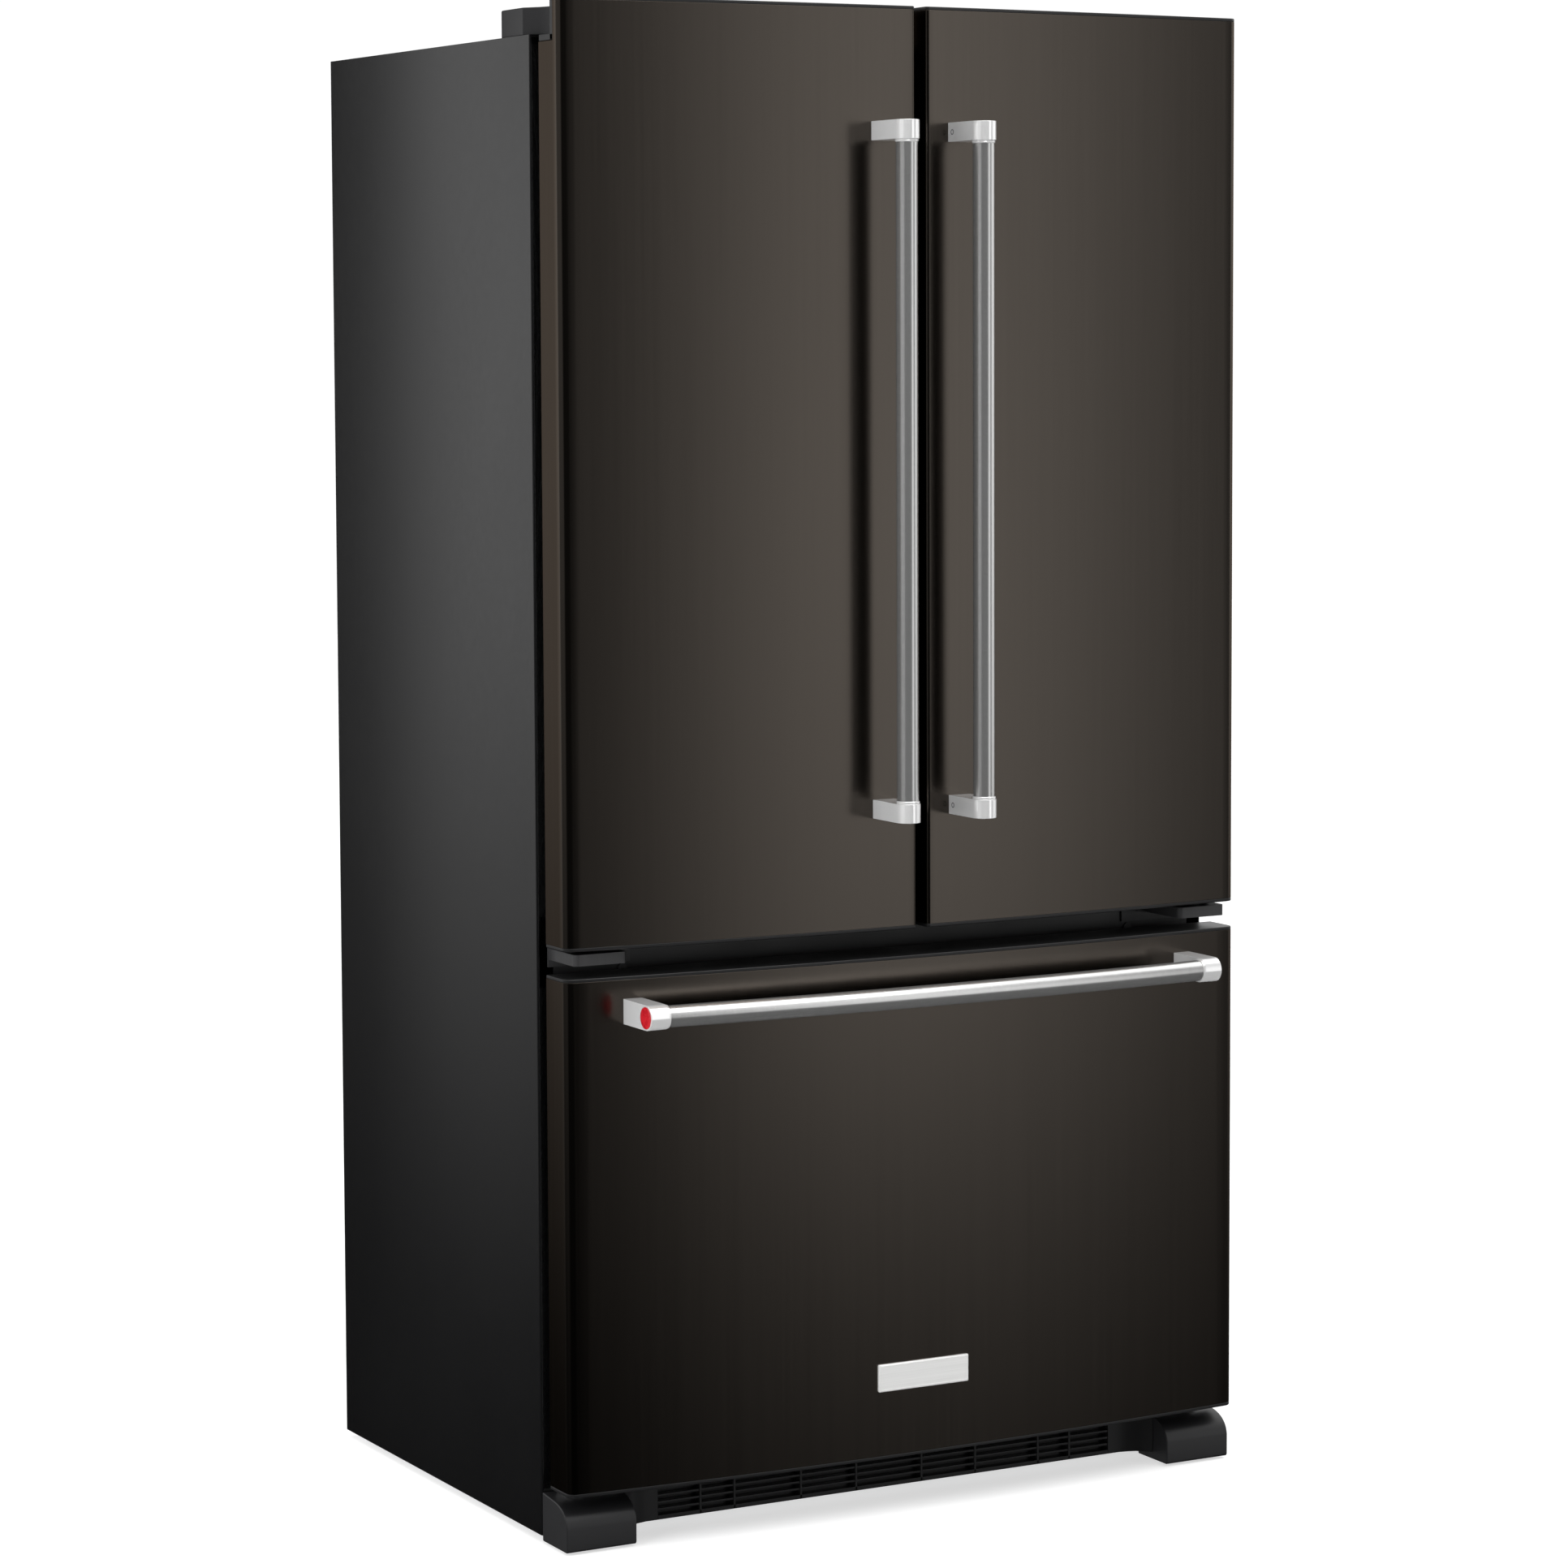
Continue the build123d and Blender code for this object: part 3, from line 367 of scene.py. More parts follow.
class ShaderGraph:
    """A material's node tree, with short calls for the nodes that the finishes share."""

    def __init__(self, name: str) -> None:
        """Start a material with its shader and its object coordinates."""
        self.material = bpy.data.materials.new(name)
        self.material.use_nodes = True
        self.nodes = self.material.node_tree.nodes
        self.links = self.material.node_tree.links
        self.surface = self.nodes["Principled BSDF"]
        self.space = self.nodes.new("ShaderNodeTexCoord").outputs["Object"]

    def feed(self, socket: Socket, value: Socket | float | Sequence[float]) -> None:
        """Link a socket's value, or set it when the value is a constant."""
        if isinstance(value, bpy.types.NodeSocket):
            self.links.new(value, socket)
        elif isinstance(value, (int, float)):
            socket.default_value = value
        else:
            lacks_alpha = len(socket.default_value) == 4 and len(value) == 3
            socket.default_value = (*value, 1.0) if lacks_alpha else value

    def set(self, **values: Socket | float | Sequence[float]) -> None:
        """Feed the shader's inputs, named with underscores for spaces."""
        for name, value in values.items():
            self.feed(self.surface.inputs[name.replace("_", " ")], value)

    def scaled(self, scale: Sequence[float], turn: float = 0.0) -> Socket:
        """Object coordinates stretched by a scale and turned about Z in degrees."""
        mapping = self.nodes.new("ShaderNodeMapping")
        mapping.inputs["Scale"].default_value = scale
        mapping.inputs["Rotation"].default_value = (0, 0, math.radians(turn))
        self.links.new(self.space, mapping.inputs["Vector"])
        return mapping.outputs["Vector"]

    def noise(self, scale: Sequence[float], detail: float, rough: float = 0.55, turn: float = 0.0) -> Socket:
        """Value of a noise texture over stretched object coordinates, from 0 to 1."""
        node = self.nodes.new("ShaderNodeTexNoise")
        self.links.new(self.scaled(scale, turn), node.inputs["Vector"])
        node.inputs["Scale"].default_value = 1.0
        node.inputs["Detail"].default_value = detail
        node.inputs["Roughness"].default_value = rough
        return node.outputs["Fac"]

    def cells(self, scale: float) -> Socket:
        """Distance to the nearest cell point of a Voronoi texture."""
        node = self.nodes.new("ShaderNodeTexVoronoi")
        node.feature = "SMOOTH_F1"
        self.links.new(self.space, node.inputs["Vector"])
        node.inputs["Scale"].default_value = scale
        return node.outputs["Distance"]

    def between(self, value: Socket, low: float, high: float, start: float = 0.3, end: float = 0.7) -> Socket:
        """Spread a value's middle part over a low to high range."""
        node = self.nodes.new("ShaderNodeMapRange")
        for name, number in (("From Min", start), ("From Max", end), ("To Min", low), ("To Max", high)):
            node.inputs[name].default_value = number
        self.links.new(value, node.inputs["Value"])
        return node.outputs["Result"]

    def mixed(self, factor: Socket, first: Sequence[float], second: Sequence[float]) -> Socket:
        """Colour between two colours."""
        node = self.nodes.new("ShaderNodeMix")
        node.data_type = "RGBA"
        self.feed(node.inputs["Factor"], factor)
        self.feed(node.inputs[6], first)
        self.feed(node.inputs[7], second)
        return node.outputs[2]

    def math(self, kind: str, first: Socket | float, second: Socket | float) -> Socket:
        """Result of one math node."""
        node = self.nodes.new("ShaderNodeMath")
        node.operation = kind
        self.feed(node.inputs[0], first)
        self.feed(node.inputs[1], second)
        return node.outputs[0]

    def bump(self, height: Socket, strength: float, distance: float) -> Socket:
        """Normal of a bump from a height, with its depth in metres."""
        node = self.nodes.new("ShaderNodeBump")
        node.inputs["Strength"].default_value = strength
        node.inputs["Distance"].default_value = distance
        self.links.new(height, node.inputs["Height"])
        return node.outputs["Normal"]


def shaded(colour: Colour, factor: float) -> Colour:
    """A colour made lighter or darker by a factor."""
    return tuple(min(1.0, channel * factor) for channel in colour)


class Grain(Enum):
    """Scale of the brushing's noise in X, Y and Z: long strokes along one direction."""

    UPRIGHT = (2600.0, 2600.0, 9.0)
    LEVEL = (9.0, 2600.0, 2600.0)


@dataclass(frozen=True)
class BrushedMetal:
    """Metal with fine parallel strokes and soft uneven tint."""

    slot: str
    colour: Colour
    roughness: float
    grain: Grain
    depth: float = 0.00001
    contrast: float = 0.1
    metallic: float = 1.0
    edge_tint: Colour = (1.0, 1.0, 1.0)

    def build(self) -> bpy.types.Material:
        """Make the material: strokes change the tint, the roughness and the bump together."""
        graph = ShaderGraph(self.slot)
        strokes = graph.noise(self.grain.value, 4.0, 0.7)
        coarse = graph.noise([axis * 0.12 for axis in self.grain.value], 3.0)
        cloud = graph.noise((1.4, 1.4, 1.1), 2.0)
        tone = graph.math("ADD", graph.math("MULTIPLY", strokes, 0.6), graph.math("MULTIPLY", coarse, 0.4))
        light, dark = shaded(self.colour, 1 + self.contrast), shaded(self.colour, 1 - self.contrast)
        graph.set(
            Base_Color=graph.mixed(graph.between(tone, 0.0, 1.0), dark, light),
            Metallic=self.metallic,
            Specular_Tint=self.edge_tint,
            Roughness=graph.math(
                "ADD", graph.between(tone, self.roughness * 0.9, self.roughness * 1.1),
                graph.between(cloud, -0.012, 0.012)),
            Normal=graph.bump(strokes, 0.35, self.depth),
        )
        return graph.material


@dataclass(frozen=True)
class SheetPaint:
    """Baked paint on sheet metal, with faint streaks down the sheet and a fine pebbled surface."""

    slot: str
    colour: Colour
    roughness: float
    streaks: float = 0.12
    pebble: float = 260.0
    depth: float = 0.00004

    def build(self) -> bpy.types.Material:
        """Make the material: streaks tint it and pebbles break up what it reflects."""
        graph = ShaderGraph(self.slot)
        streaks = graph.noise((170.0, 170.0, 6.0), 4.0, 0.65)
        pebbles = graph.noise((self.pebble, self.pebble, self.pebble * 0.45), 3.0)
        cloud = graph.noise((2.2, 2.2, 1.6), 3.0)
        light, dark = shaded(self.colour, 1 + self.streaks), shaded(self.colour, 1 - self.streaks)
        height = graph.math("ADD", pebbles, graph.math("MULTIPLY", streaks, 0.8))
        graph.set(
            Base_Color=graph.mixed(graph.between(streaks, 0.0, 1.0), dark, light),
            Roughness=graph.math(
                "ADD", graph.between(pebbles, self.roughness * 0.92, self.roughness * 1.08),
                graph.between(cloud, -0.02, 0.02)),
            Normal=graph.bump(height, 0.5, self.depth),
        )
        return graph.material


@dataclass(frozen=True)
class MouldedPlastic:
    """Moulded plastic with a fine grain and slightly uneven gloss."""

    slot: str
    colour: Colour
    roughness: float
    grain: float = 900.0
    depth: float = 0.00004
    glow: float = 0.0

    def build(self) -> bpy.types.Material:
        """Make the material: small cells form the grain, soft clouds vary the gloss."""
        graph = ShaderGraph(self.slot)
        grain = graph.cells(self.grain)
        cloud = graph.noise((9.0, 9.0, 9.0), 4.0)
        graph.set(
            Base_Color=graph.mixed(
                graph.between(cloud, 0.0, 1.0), shaded(self.colour, 0.93), shaded(self.colour, 1.05)),
            Roughness=graph.between(cloud, self.roughness * 0.88, self.roughness * 1.12),
            Normal=graph.bump(grain, 0.4, self.depth),
            Subsurface_Weight=self.glow,
        )
        graph.surface.inputs["Subsurface Radius"].default_value = (0.004, 0.004, 0.004)
        return graph.material


@dataclass(frozen=True)
class MirrorMetal:
    """Polished plating or zinc with faint wipe marks."""

    slot: str
    colour: Colour
    roughness: float
    metallic: float = 1.0

    def build(self) -> bpy.types.Material:
        """Make the material: long thin marks change its roughness a little."""
        graph = ShaderGraph(self.slot)
        marks = graph.noise((40.0, 220.0, 220.0), 5.0, 0.6, turn=24.0)
        cloud = graph.noise((30.0, 30.0, 30.0), 2.0)
        graph.set(
            Base_Color=graph.mixed(graph.between(cloud, 0.0, 1.0), shaded(self.colour, 0.95), self.colour),
            Metallic=self.metallic,
            Roughness=graph.between(marks, self.roughness * 0.7, self.roughness * 1.5),
            Normal=graph.bump(cloud, 0.1, 0.00002),
        )
        return graph.material


@dataclass(frozen=True)
class ClearMoulding:
    """Clear plastic or glass with a faint tint and handling haze."""

    slot: str
    colour: Colour
    roughness: float
    index: float = 1.49

    def build(self) -> bpy.types.Material:
        """Make the material: haze raises the roughness in soft patches."""
        graph = ShaderGraph(self.slot)
        haze = graph.noise((14.0, 14.0, 14.0), 5.0, 0.6)
        waves = graph.noise((26.0, 26.0, 26.0), 1.0)
        graph.set(
            Base_Color=graph.mixed(graph.between(haze, 0.0, 1.0), shaded(self.colour, 0.97), self.colour),
            Roughness=graph.between(haze, self.roughness * 0.5, self.roughness * 1.5),
            Transmission_Weight=0.9,
            IOR=self.index,
            Normal=graph.bump(waves, 0.12, 0.0003),
        )
        return graph.material


@dataclass(frozen=True)
class GlossEnamel:
    """Thick glossy enamel with a clear coat."""

    slot: str
    colour: Colour

    def build(self) -> bpy.types.Material:
        """Make the material: the colour pools slightly under a smooth coat."""
        graph = ShaderGraph(self.slot)
        pool = graph.noise((160.0, 160.0, 160.0), 3.0)
        graph.set(
            Base_Color=graph.mixed(
                graph.between(pool, 0.0, 1.0), shaded(self.colour, 0.8), shaded(self.colour, 1.1)),
            Roughness=graph.between(pool, 0.22, 0.34),
            Coat_Weight=0.8,
            Coat_Roughness=0.06,
            Normal=graph.bump(pool, 0.15, 0.0001),
        )
        return graph.material


@dataclass(frozen=True)
class SoftRubber:
    """Flexible magnetic gasket rubber, matt with faint extrusion lines."""

    slot: str
    colour: Colour

    def build(self) -> bpy.types.Material:
        """Make the material: dusty patches over a fine grain, with a little sheen."""
        graph = ShaderGraph(self.slot)
        dust = graph.noise((18.0, 18.0, 18.0), 5.0, 0.6)
        grain = graph.noise((700.0, 700.0, 700.0), 2.0)
        graph.set(
            Base_Color=graph.mixed(graph.between(dust, 0.0, 1.0), self.colour, shaded(self.colour, 1.6)),
            Roughness=graph.between(dust, 0.5, 0.68),
            Sheen_Weight=0.15,
            Normal=graph.bump(grain, 0.4, 0.00005),
        )
        return graph.material


@dataclass(frozen=True)
class PouredFoam:
    """Rigid insulating foam with open cells."""

    slot: str
    colour: Colour

    def build(self) -> bpy.types.Material:
        """Make the material: soft clouds darken it and cells give it its bump."""
        graph = ShaderGraph(self.slot)
        cells = graph.cells(420.0)
        cloud = graph.noise((12.0, 12.0, 12.0), 4.0)
        graph.set(
            Base_Color=graph.mixed(graph.between(cloud, 0.0, 1.0), shaded(self.colour, 0.82), self.colour),
            Roughness=graph.between(cloud, 0.78, 0.92),
            Normal=graph.bump(cells, 0.6, 0.0006),
        )
        return graph.material


FINISHES = (
    SheetPaint("charcoal_paint", (0.003, 0.003, 0.0032), 0.23),
    SheetPaint("galvanised_steel", (0.3, 0.31, 0.32), 0.42, 0.2, 90.0),
    PouredFoam("foam", (0.82, 0.72, 0.45)),
    MouldedPlastic("white_liner", (0.78, 0.79, 0.79), 0.3, 1400.0, 0.00002, 0.04),
    MouldedPlastic("black_plastic", (0.009, 0.009, 0.0095), 0.36),
    MouldedPlastic("charcoal_plastic", (0.013, 0.013, 0.014), 0.4, 700.0, 0.00006),
    SheetPaint("hinge_steel", (0.03, 0.03, 0.031), 0.38, 0.1, 300.0),
    MirrorMetal("screw_steel", (0.4, 0.4, 0.41), 0.22),
    MouldedPlastic("grey_nylon", (0.28, 0.28, 0.29), 0.5),
    SheetPaint("black_enamel", (0.008, 0.008, 0.0085), 0.25, 0.1, 120.0),
    SheetPaint("coil_metal", (0.02, 0.02, 0.021), 0.45, 0.15, 150.0),
    BrushedMetal("bare_aluminium", (0.75, 0.76, 0.77), 0.3, Grain.LEVEL),
    ClearMoulding("shelf_glass", (0.86, 0.96, 0.93), 0.02, 1.52),
    ClearMoulding("clear_plastic", (0.95, 0.97, 0.98), 0.06),
    MouldedPlastic("frost_plastic", (0.72, 0.76, 0.79), 0.34, 1100.0, 0.00002, 0.12),
    SoftRubber("gasket_rubber", (0.012, 0.012, 0.0125)),
    BrushedMetal("black_stainless", (0.091, 0.079, 0.068), 0.2, Grain.UPRIGHT, edge_tint=(0.5, 0.45, 0.42)),
    BrushedMetal("satin_steel", (0.7, 0.7, 0.695), 0.25, Grain.UPRIGHT, 0.00001, 0.08, 0.87),
    MirrorMetal("bright_chrome", (0.93, 0.93, 0.93), 0.1, 0.5),
    BrushedMetal("badge_silver", (0.82, 0.82, 0.81), 0.3, Grain.LEVEL, metallic=0.25),
    GlossEnamel("red_enamel", (0.5, 0.012, 0.02)),
)


# ---------------------------------------------------------------------------- frame


class Model:
    """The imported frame, its finishes, and the pieces added to it."""

    def __init__(self) -> None:
        """Load the frame, build every finish and give each CAD node its own."""
        self.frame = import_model()
        low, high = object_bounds()
        self.cad_box = [list(low), list(high)]
        self.palette = {finish.slot: finish.build() for finish in FINISHES}
        for part in self.frame["record"]["subparts"]:
            node = self.frame["nodes"][part["node"]]
            for slot in node.material_slots:
                slot.material = self.palette[part["material_slot"]]
            LOG.info("node %s keeps finish %s", part["node"], part["material_slot"])

    def add(self, piece: Object, body: str, slot: str, *nodes: str) -> Object:
        """Give a piece its finish and its body, and let it stand for CAD nodes.

        Args:
            piece: The new piece.
            body: Name of the body it rides on.
            slot: Material slot of its finish.
            nodes: CAD nodes that it replaces.

        Returns:
            The piece.
        """
        piece.data.materials.clear()
        piece.data.materials.append(self.palette[slot])
        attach(piece, body)
        if nodes:
            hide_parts(*nodes)
        LOG.info("piece %s rides on %s", piece.name, body)
        return piece

    def solids(self, node: str) -> list[tuple[Vector, Vector]]:
        """Boxes of the separate solids in a node."""
        return solids_of(self.frame["nodes"][node])


@dataclass(frozen=True)
class FrontShape:
    """Plan of the bowed front that both doors and the drawer share."""

    edge_y: float
    bow: float
    half: float

    @classmethod
    def from_frame(cls, bow: float = 20.5 * MM) -> FrontShape:
        """Read the front's place from the drawer's steel skin."""
        low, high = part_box("drawer_skin")
        return cls(low.y + bow, bow, high.x)

    def at(self, depth: float) -> float:
        """Y of a depth behind the front's outer edges."""
        return self.edge_y + depth

    def face_y(self, x: Array | float) -> Array | float:
        """Y of the bowed face: a parabola that is deepest at the middle."""
        return self.edge_y - self.bow * (1 - np.square(np.asarray(x) / self.half))

    def lean(self, x: float) -> float:
        """Angle in radians by which the face's normal leans away from straight ahead."""
        return math.atan(2 * self.bow * x / self.half**2)

    def path(self, span: Span, radii: Span, back: float, breaks: Sequence[float] = ()) -> Array:
        """Open plan path from the low side's back, round the front, to the high side's back.

        Each front corner is an arc that starts along the side and ends along the bowed face's normal,
        so the surface stays smooth where they meet.

        Args:
            span: Low and high X of the front.
            radii: Corner radius at each end.
            back: Y of both ends.
            breaks: Y of extra points on each side, from the back forwards.

        Returns:
            Array of shape (n, 2) with X and Y.
        """
        arcs = []
        for sign, side, radius in ((-1, span[0], radii[0]), (1, span[1], radii[1])):
            lean = self.lean(side)
            start = side - sign * radius * (1 - abs(math.sin(lean)))
            centre = np.array([side - sign * radius, self.face_y(start) + radius * math.cos(lean)])
            turn = np.linspace(0, math.pi / 2 - abs(lean), 9)[:, None]
            corner = centre + radius * np.hstack([sign * np.cos(turn), -np.sin(turn)])
            arcs.append(corner if sign < 0 else corner[::-1])
        across = np.linspace(arcs[0][-1, 0], arcs[1][0, 0], 46)[1:-1]
        face = np.column_stack([across, self.face_y(across)])
        sides = [np.array([(x, y) for y in (back, *breaks)]) for x in span]
        return np.vstack([sides[0], arcs[0], face, arcs[1], sides[1][::-1]])


@dataclass(frozen=True)
class Notch:
    """Corner cut from the back of a door's top, where its hinge sits."""

    x: float = 357 * MM
    depth: float = 23 * MM
    floor: float = 1721 * MM
    rim: float = 8 * MM


# ---------------------------------------------------------------------------- doors and drawer


@dataclass(frozen=True)
class Panel:
    """One steel front: a door or the drawer."""

    name: str
    body: str
    outer: int
    radii: Span
    notch: Notch | None = None

    def node(self, kind: str) -> str:
        """Name of one of the panel's CAD nodes."""
        return f"{self.name}_{kind}"


class PanelShell:
    """Steel skin, moulded end caps and gasket of a panel."""

    def __init__(self, model: Model, front: FrontShape, panel: Panel) -> None:
        """Read the panel's size from its CAD skin and caps."""
        self.model, self.front, self.panel = model, front, panel
        low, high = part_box(panel.node("skin"))
        self.span, self.steel = (low.x, high.x), (low.z, high.z)
        cap_low, cap_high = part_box(panel.node("caps"))
        self.height, self.back = (cap_low.z, cap_high.z), cap_high.y

    def build(self) -> None:
        """Build the three kinds of piece."""
        self.skin()
        self.caps()
        self.gasket()

    def skin(self) -> None:
        """Brushed sheet over the front and both sides: the plan path repeated at each height.

        Where the panel has a hinge notch, the quad behind the notch's wall on the outer side is left
        out of the top row.
        """
        notch = self.panel.notch
        levels = [self.steel[0], self.steel[1]]
        breaks: tuple[float, ...] = ()
        if notch:
            levels.insert(1, notch.floor - notch.rim)
            breaks = (self.front.at(notch.depth - notch.rim),)
        path = self.front.path(self.span, self.panel.radii, self.back, breaks)
        heights = np.repeat(np.array(levels)[:, None], len(path), axis=1)
        points = place(np.repeat(path[None], len(levels), axis=0), heights, Axis.Z)
        quads = grid_quads(len(levels), len(path))
        if notch:
            columns = len(path) - 1
            quads = np.delete(quads, columns if self.panel.outer < 0 else 2 * columns - 1, axis=0)
        made = make_object(f"{self.panel.name}_steel", points, quads.tolist(), outward=False)
        thicken(made, 1.2 * MM)
        self.model.add(made, self.panel.body, "black_stainless", self.panel.node("skin"))

    def caps(self) -> None:
        """Moulded caps over both ends, with a lining for the hinge notch."""
        outer, notch = self.panel.outer, self.panel.notch
        lap = 0.4 * MM
        upper = (self.steel[1] - lap, self.height[1])
        whole = self.front.path(self.span, self.panel.radii, self.back)
        pieces = [prism("cap", whole, (self.height[0], self.steel[0] + lap))]
        if not notch:
            pieces.append(prism("cap", whole, upper))
        else:
            wall = self.front.at(notch.depth)
            path = self.front.path(self.span, self.panel.radii, self.back, (wall,))
            corner = np.array([(outer * notch.x, self.back), (outer * notch.x, wall)])
            cut = np.vstack([corner, path[1:]]) if outer < 0 else np.vstack([path[:-1], corner[::-1]])
            pieces.append(prism("cap", cut, upper))
            side, start = outer * self.front.half, self.front.at(notch.depth - notch.rim)
            inner = outer * (notch.x - notch.rim)
            low = notch.floor - notch.rim
            edge = outer * 0.3 * MM
            for x, y, z in (
                ((inner, side - edge), (start, wall), (low, self.height[1] - 1.5 * MM)),
                ((inner, side - edge), (start, self.back), (low, notch.floor)),
                ((inner, outer * notch.x), (start, self.back), (low, self.height[1] - 0.2 * MM)),
            ):
                pieces.append(prism("rim", box_outline(x, y), z))
        made = joined(f"{self.panel.name}_end_caps", pieces, 1.2 * MM)
        self.model.add(made, self.panel.body, "black_plastic", self.panel.node("caps"))

    def gasket(self) -> None:
        """Soft seal with folded sides, swept round the panel's back."""
        low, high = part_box(self.panel.node("gasket"))
        depth = high.y - low.y
        folds = np.array([(1.5, 0), (0, 0.16), (3.2, 0.36), (0.2, 0.6), (0, 0.9), (1.6, 1)])
        bar = 22 * MM
        outside = np.column_stack([folds[:, 0] * MM, low.y + folds[:, 1] * depth])
        inside = np.column_stack([bar - outside[::-1, 0], outside[::-1, 1]])
        profile = np.vstack([outside, inside])
        made = swept_ring(f"{self.panel.name}_seal", (low.x, high.x), (low.z, high.z), profile)
        self.model.add(made, self.panel.body, "gasket_rubber", self.panel.node("gasket"))


def swept_ring(name: str, across: Span, up: Span, profile: Array) -> Object:
    """Sweep a closed profile round an upright rectangle with mitred corners.

    Each corner has one copy of the profile: its first value is the distance inwards from both sides
    that meet there, its second is Y.

    Args:
        name: The piece's name.
        across: Outer span in X.
        up: Outer span in Z.
        profile: Array of shape (n, 2).

    Returns:
        A closed ring.
    """
    corners = np.array([(across[0], up[0]), (across[1], up[0]), (across[1], up[1]), (across[0], up[1])])
    inward = np.array([(1, 1), (-1, 1), (-1, -1), (1, -1)])
    flat = corners[:, None, :] + inward[:, None, :] * profile[None, :, :1]
    along = np.repeat(profile[None, :, 1], 4, axis=0)
    return loft(name, place(flat, along, Axis.Y), ring=True)


COLLAR = 3 * MM
COLLAR_RADIUS = 13.6 * MM


class BarHandle:
    """Upright tubular handle: two posts with round noses, collars and a brushed tube."""

    def __init__(self, model: Model, front: FrontShape, side: str, sign: int) -> None:
        """Keep what the handle is built from."""
        self.model, self.front, self.side, self.sign = model, front, side, sign
        self.body = f"{side}_door"

    def build(self) -> None:
        """Build the posts, their collars and set screws, and the tube between them."""
        low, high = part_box(f"{self.side}_handle_tube")
        centre = ((low.x + high.x) / 2, (low.y + high.y) / 2)
        posts = self.model.solids(f"{self.side}_handle_posts")
        pieces = []
        for upper, (post_low, post_high) in enumerate(posts):
            start = post_low.z if upper else post_high.z - COLLAR
            span = (post_low.z + COLLAR, post_high.z) if upper else (post_low.z, post_high.z - COLLAR)
            pieces += [self.post(post_low, post_high, span), self.collar(start, centre)]
        made = joined(f"{self.side}_handle_mounts", pieces, 1.0 * MM, 4)
        self.model.add(made, self.body, "bright_chrome", f"{self.side}_handle_posts")
        self.tube(low.z, high.z, (high.x - low.x) / 2, centre)
        self.screws(posts)

    def post(self, low: Vector, high: Vector, span: Span) -> Object:
        """A post: straight sides out of the door and a half round nose."""
        half, middle = (high.x - low.x) / 2, (low.x + high.x) / 2
        nose = arc((middle, low.y + half), half, 180, 360, 25)
        root = float(self.front.face_y(middle)) + 1.0 * MM
        return prism("post", np.vstack([nose, [(high.x, root), (low.x, root)]]), span)

    def collar(self, start: float, centre: Span) -> Object:
        """A plated ring with soft edges between a post and the tube."""
        cuts = [(1.0, -0.3), (0.3, 0), (0, 0.5), (0, 2.5), (0.3, 3), (1.0, 3.3)]
        profile = [(COLLAR_RADIUS - inset * MM, start + z * MM) for inset, z in cuts]
        return turned("collar", profile, centre, Axis.Z)

    def tube(self, bottom: float, top: float, radius: float, centre: Span) -> None:
        """The brushed tube, whose narrowed ends sink a little into the collars."""
        narrow, sunk = radius - 1 * MM, 0.4 * MM
        profile = [(narrow, bottom - sunk), (radius, bottom), (radius, top), (narrow, top + sunk)]
        made = turned(f"{self.side}_handle_bar", profile, centre, Axis.Z, 72)
        self.model.add(made, self.body, "satin_steel", f"{self.side}_handle_tube")

    def screws(self, posts: Sequence[tuple[Vector, Vector]]) -> None:
        """A dark socket screw in each post near the door, on the side that faces the other handle."""
        head = [(3.2, -0.6), (3.2, 0.05), (2.9, 0.12), (2.2, 0.1), (2.0, -0.5), (0.3, -0.55)]
        pieces = []
        for upper, (low, high) in enumerate(posts):
            face = low.x if self.sign > 0 else high.x
            z = (low.z + high.z) / 2 + (1.5 * MM if upper else -1.5 * MM)
            y = float(self.front.face_y(face)) - 9 * MM
            profile = [(radius * MM, face - self.sign * depth * MM) for radius, depth in head]
            pieces.append(turned("screw", profile, (y, z), Axis.X, 24))
        made = joined(f"{self.side}_handle_screws", pieces)
        self.model.add(made, self.body, "black_plastic")


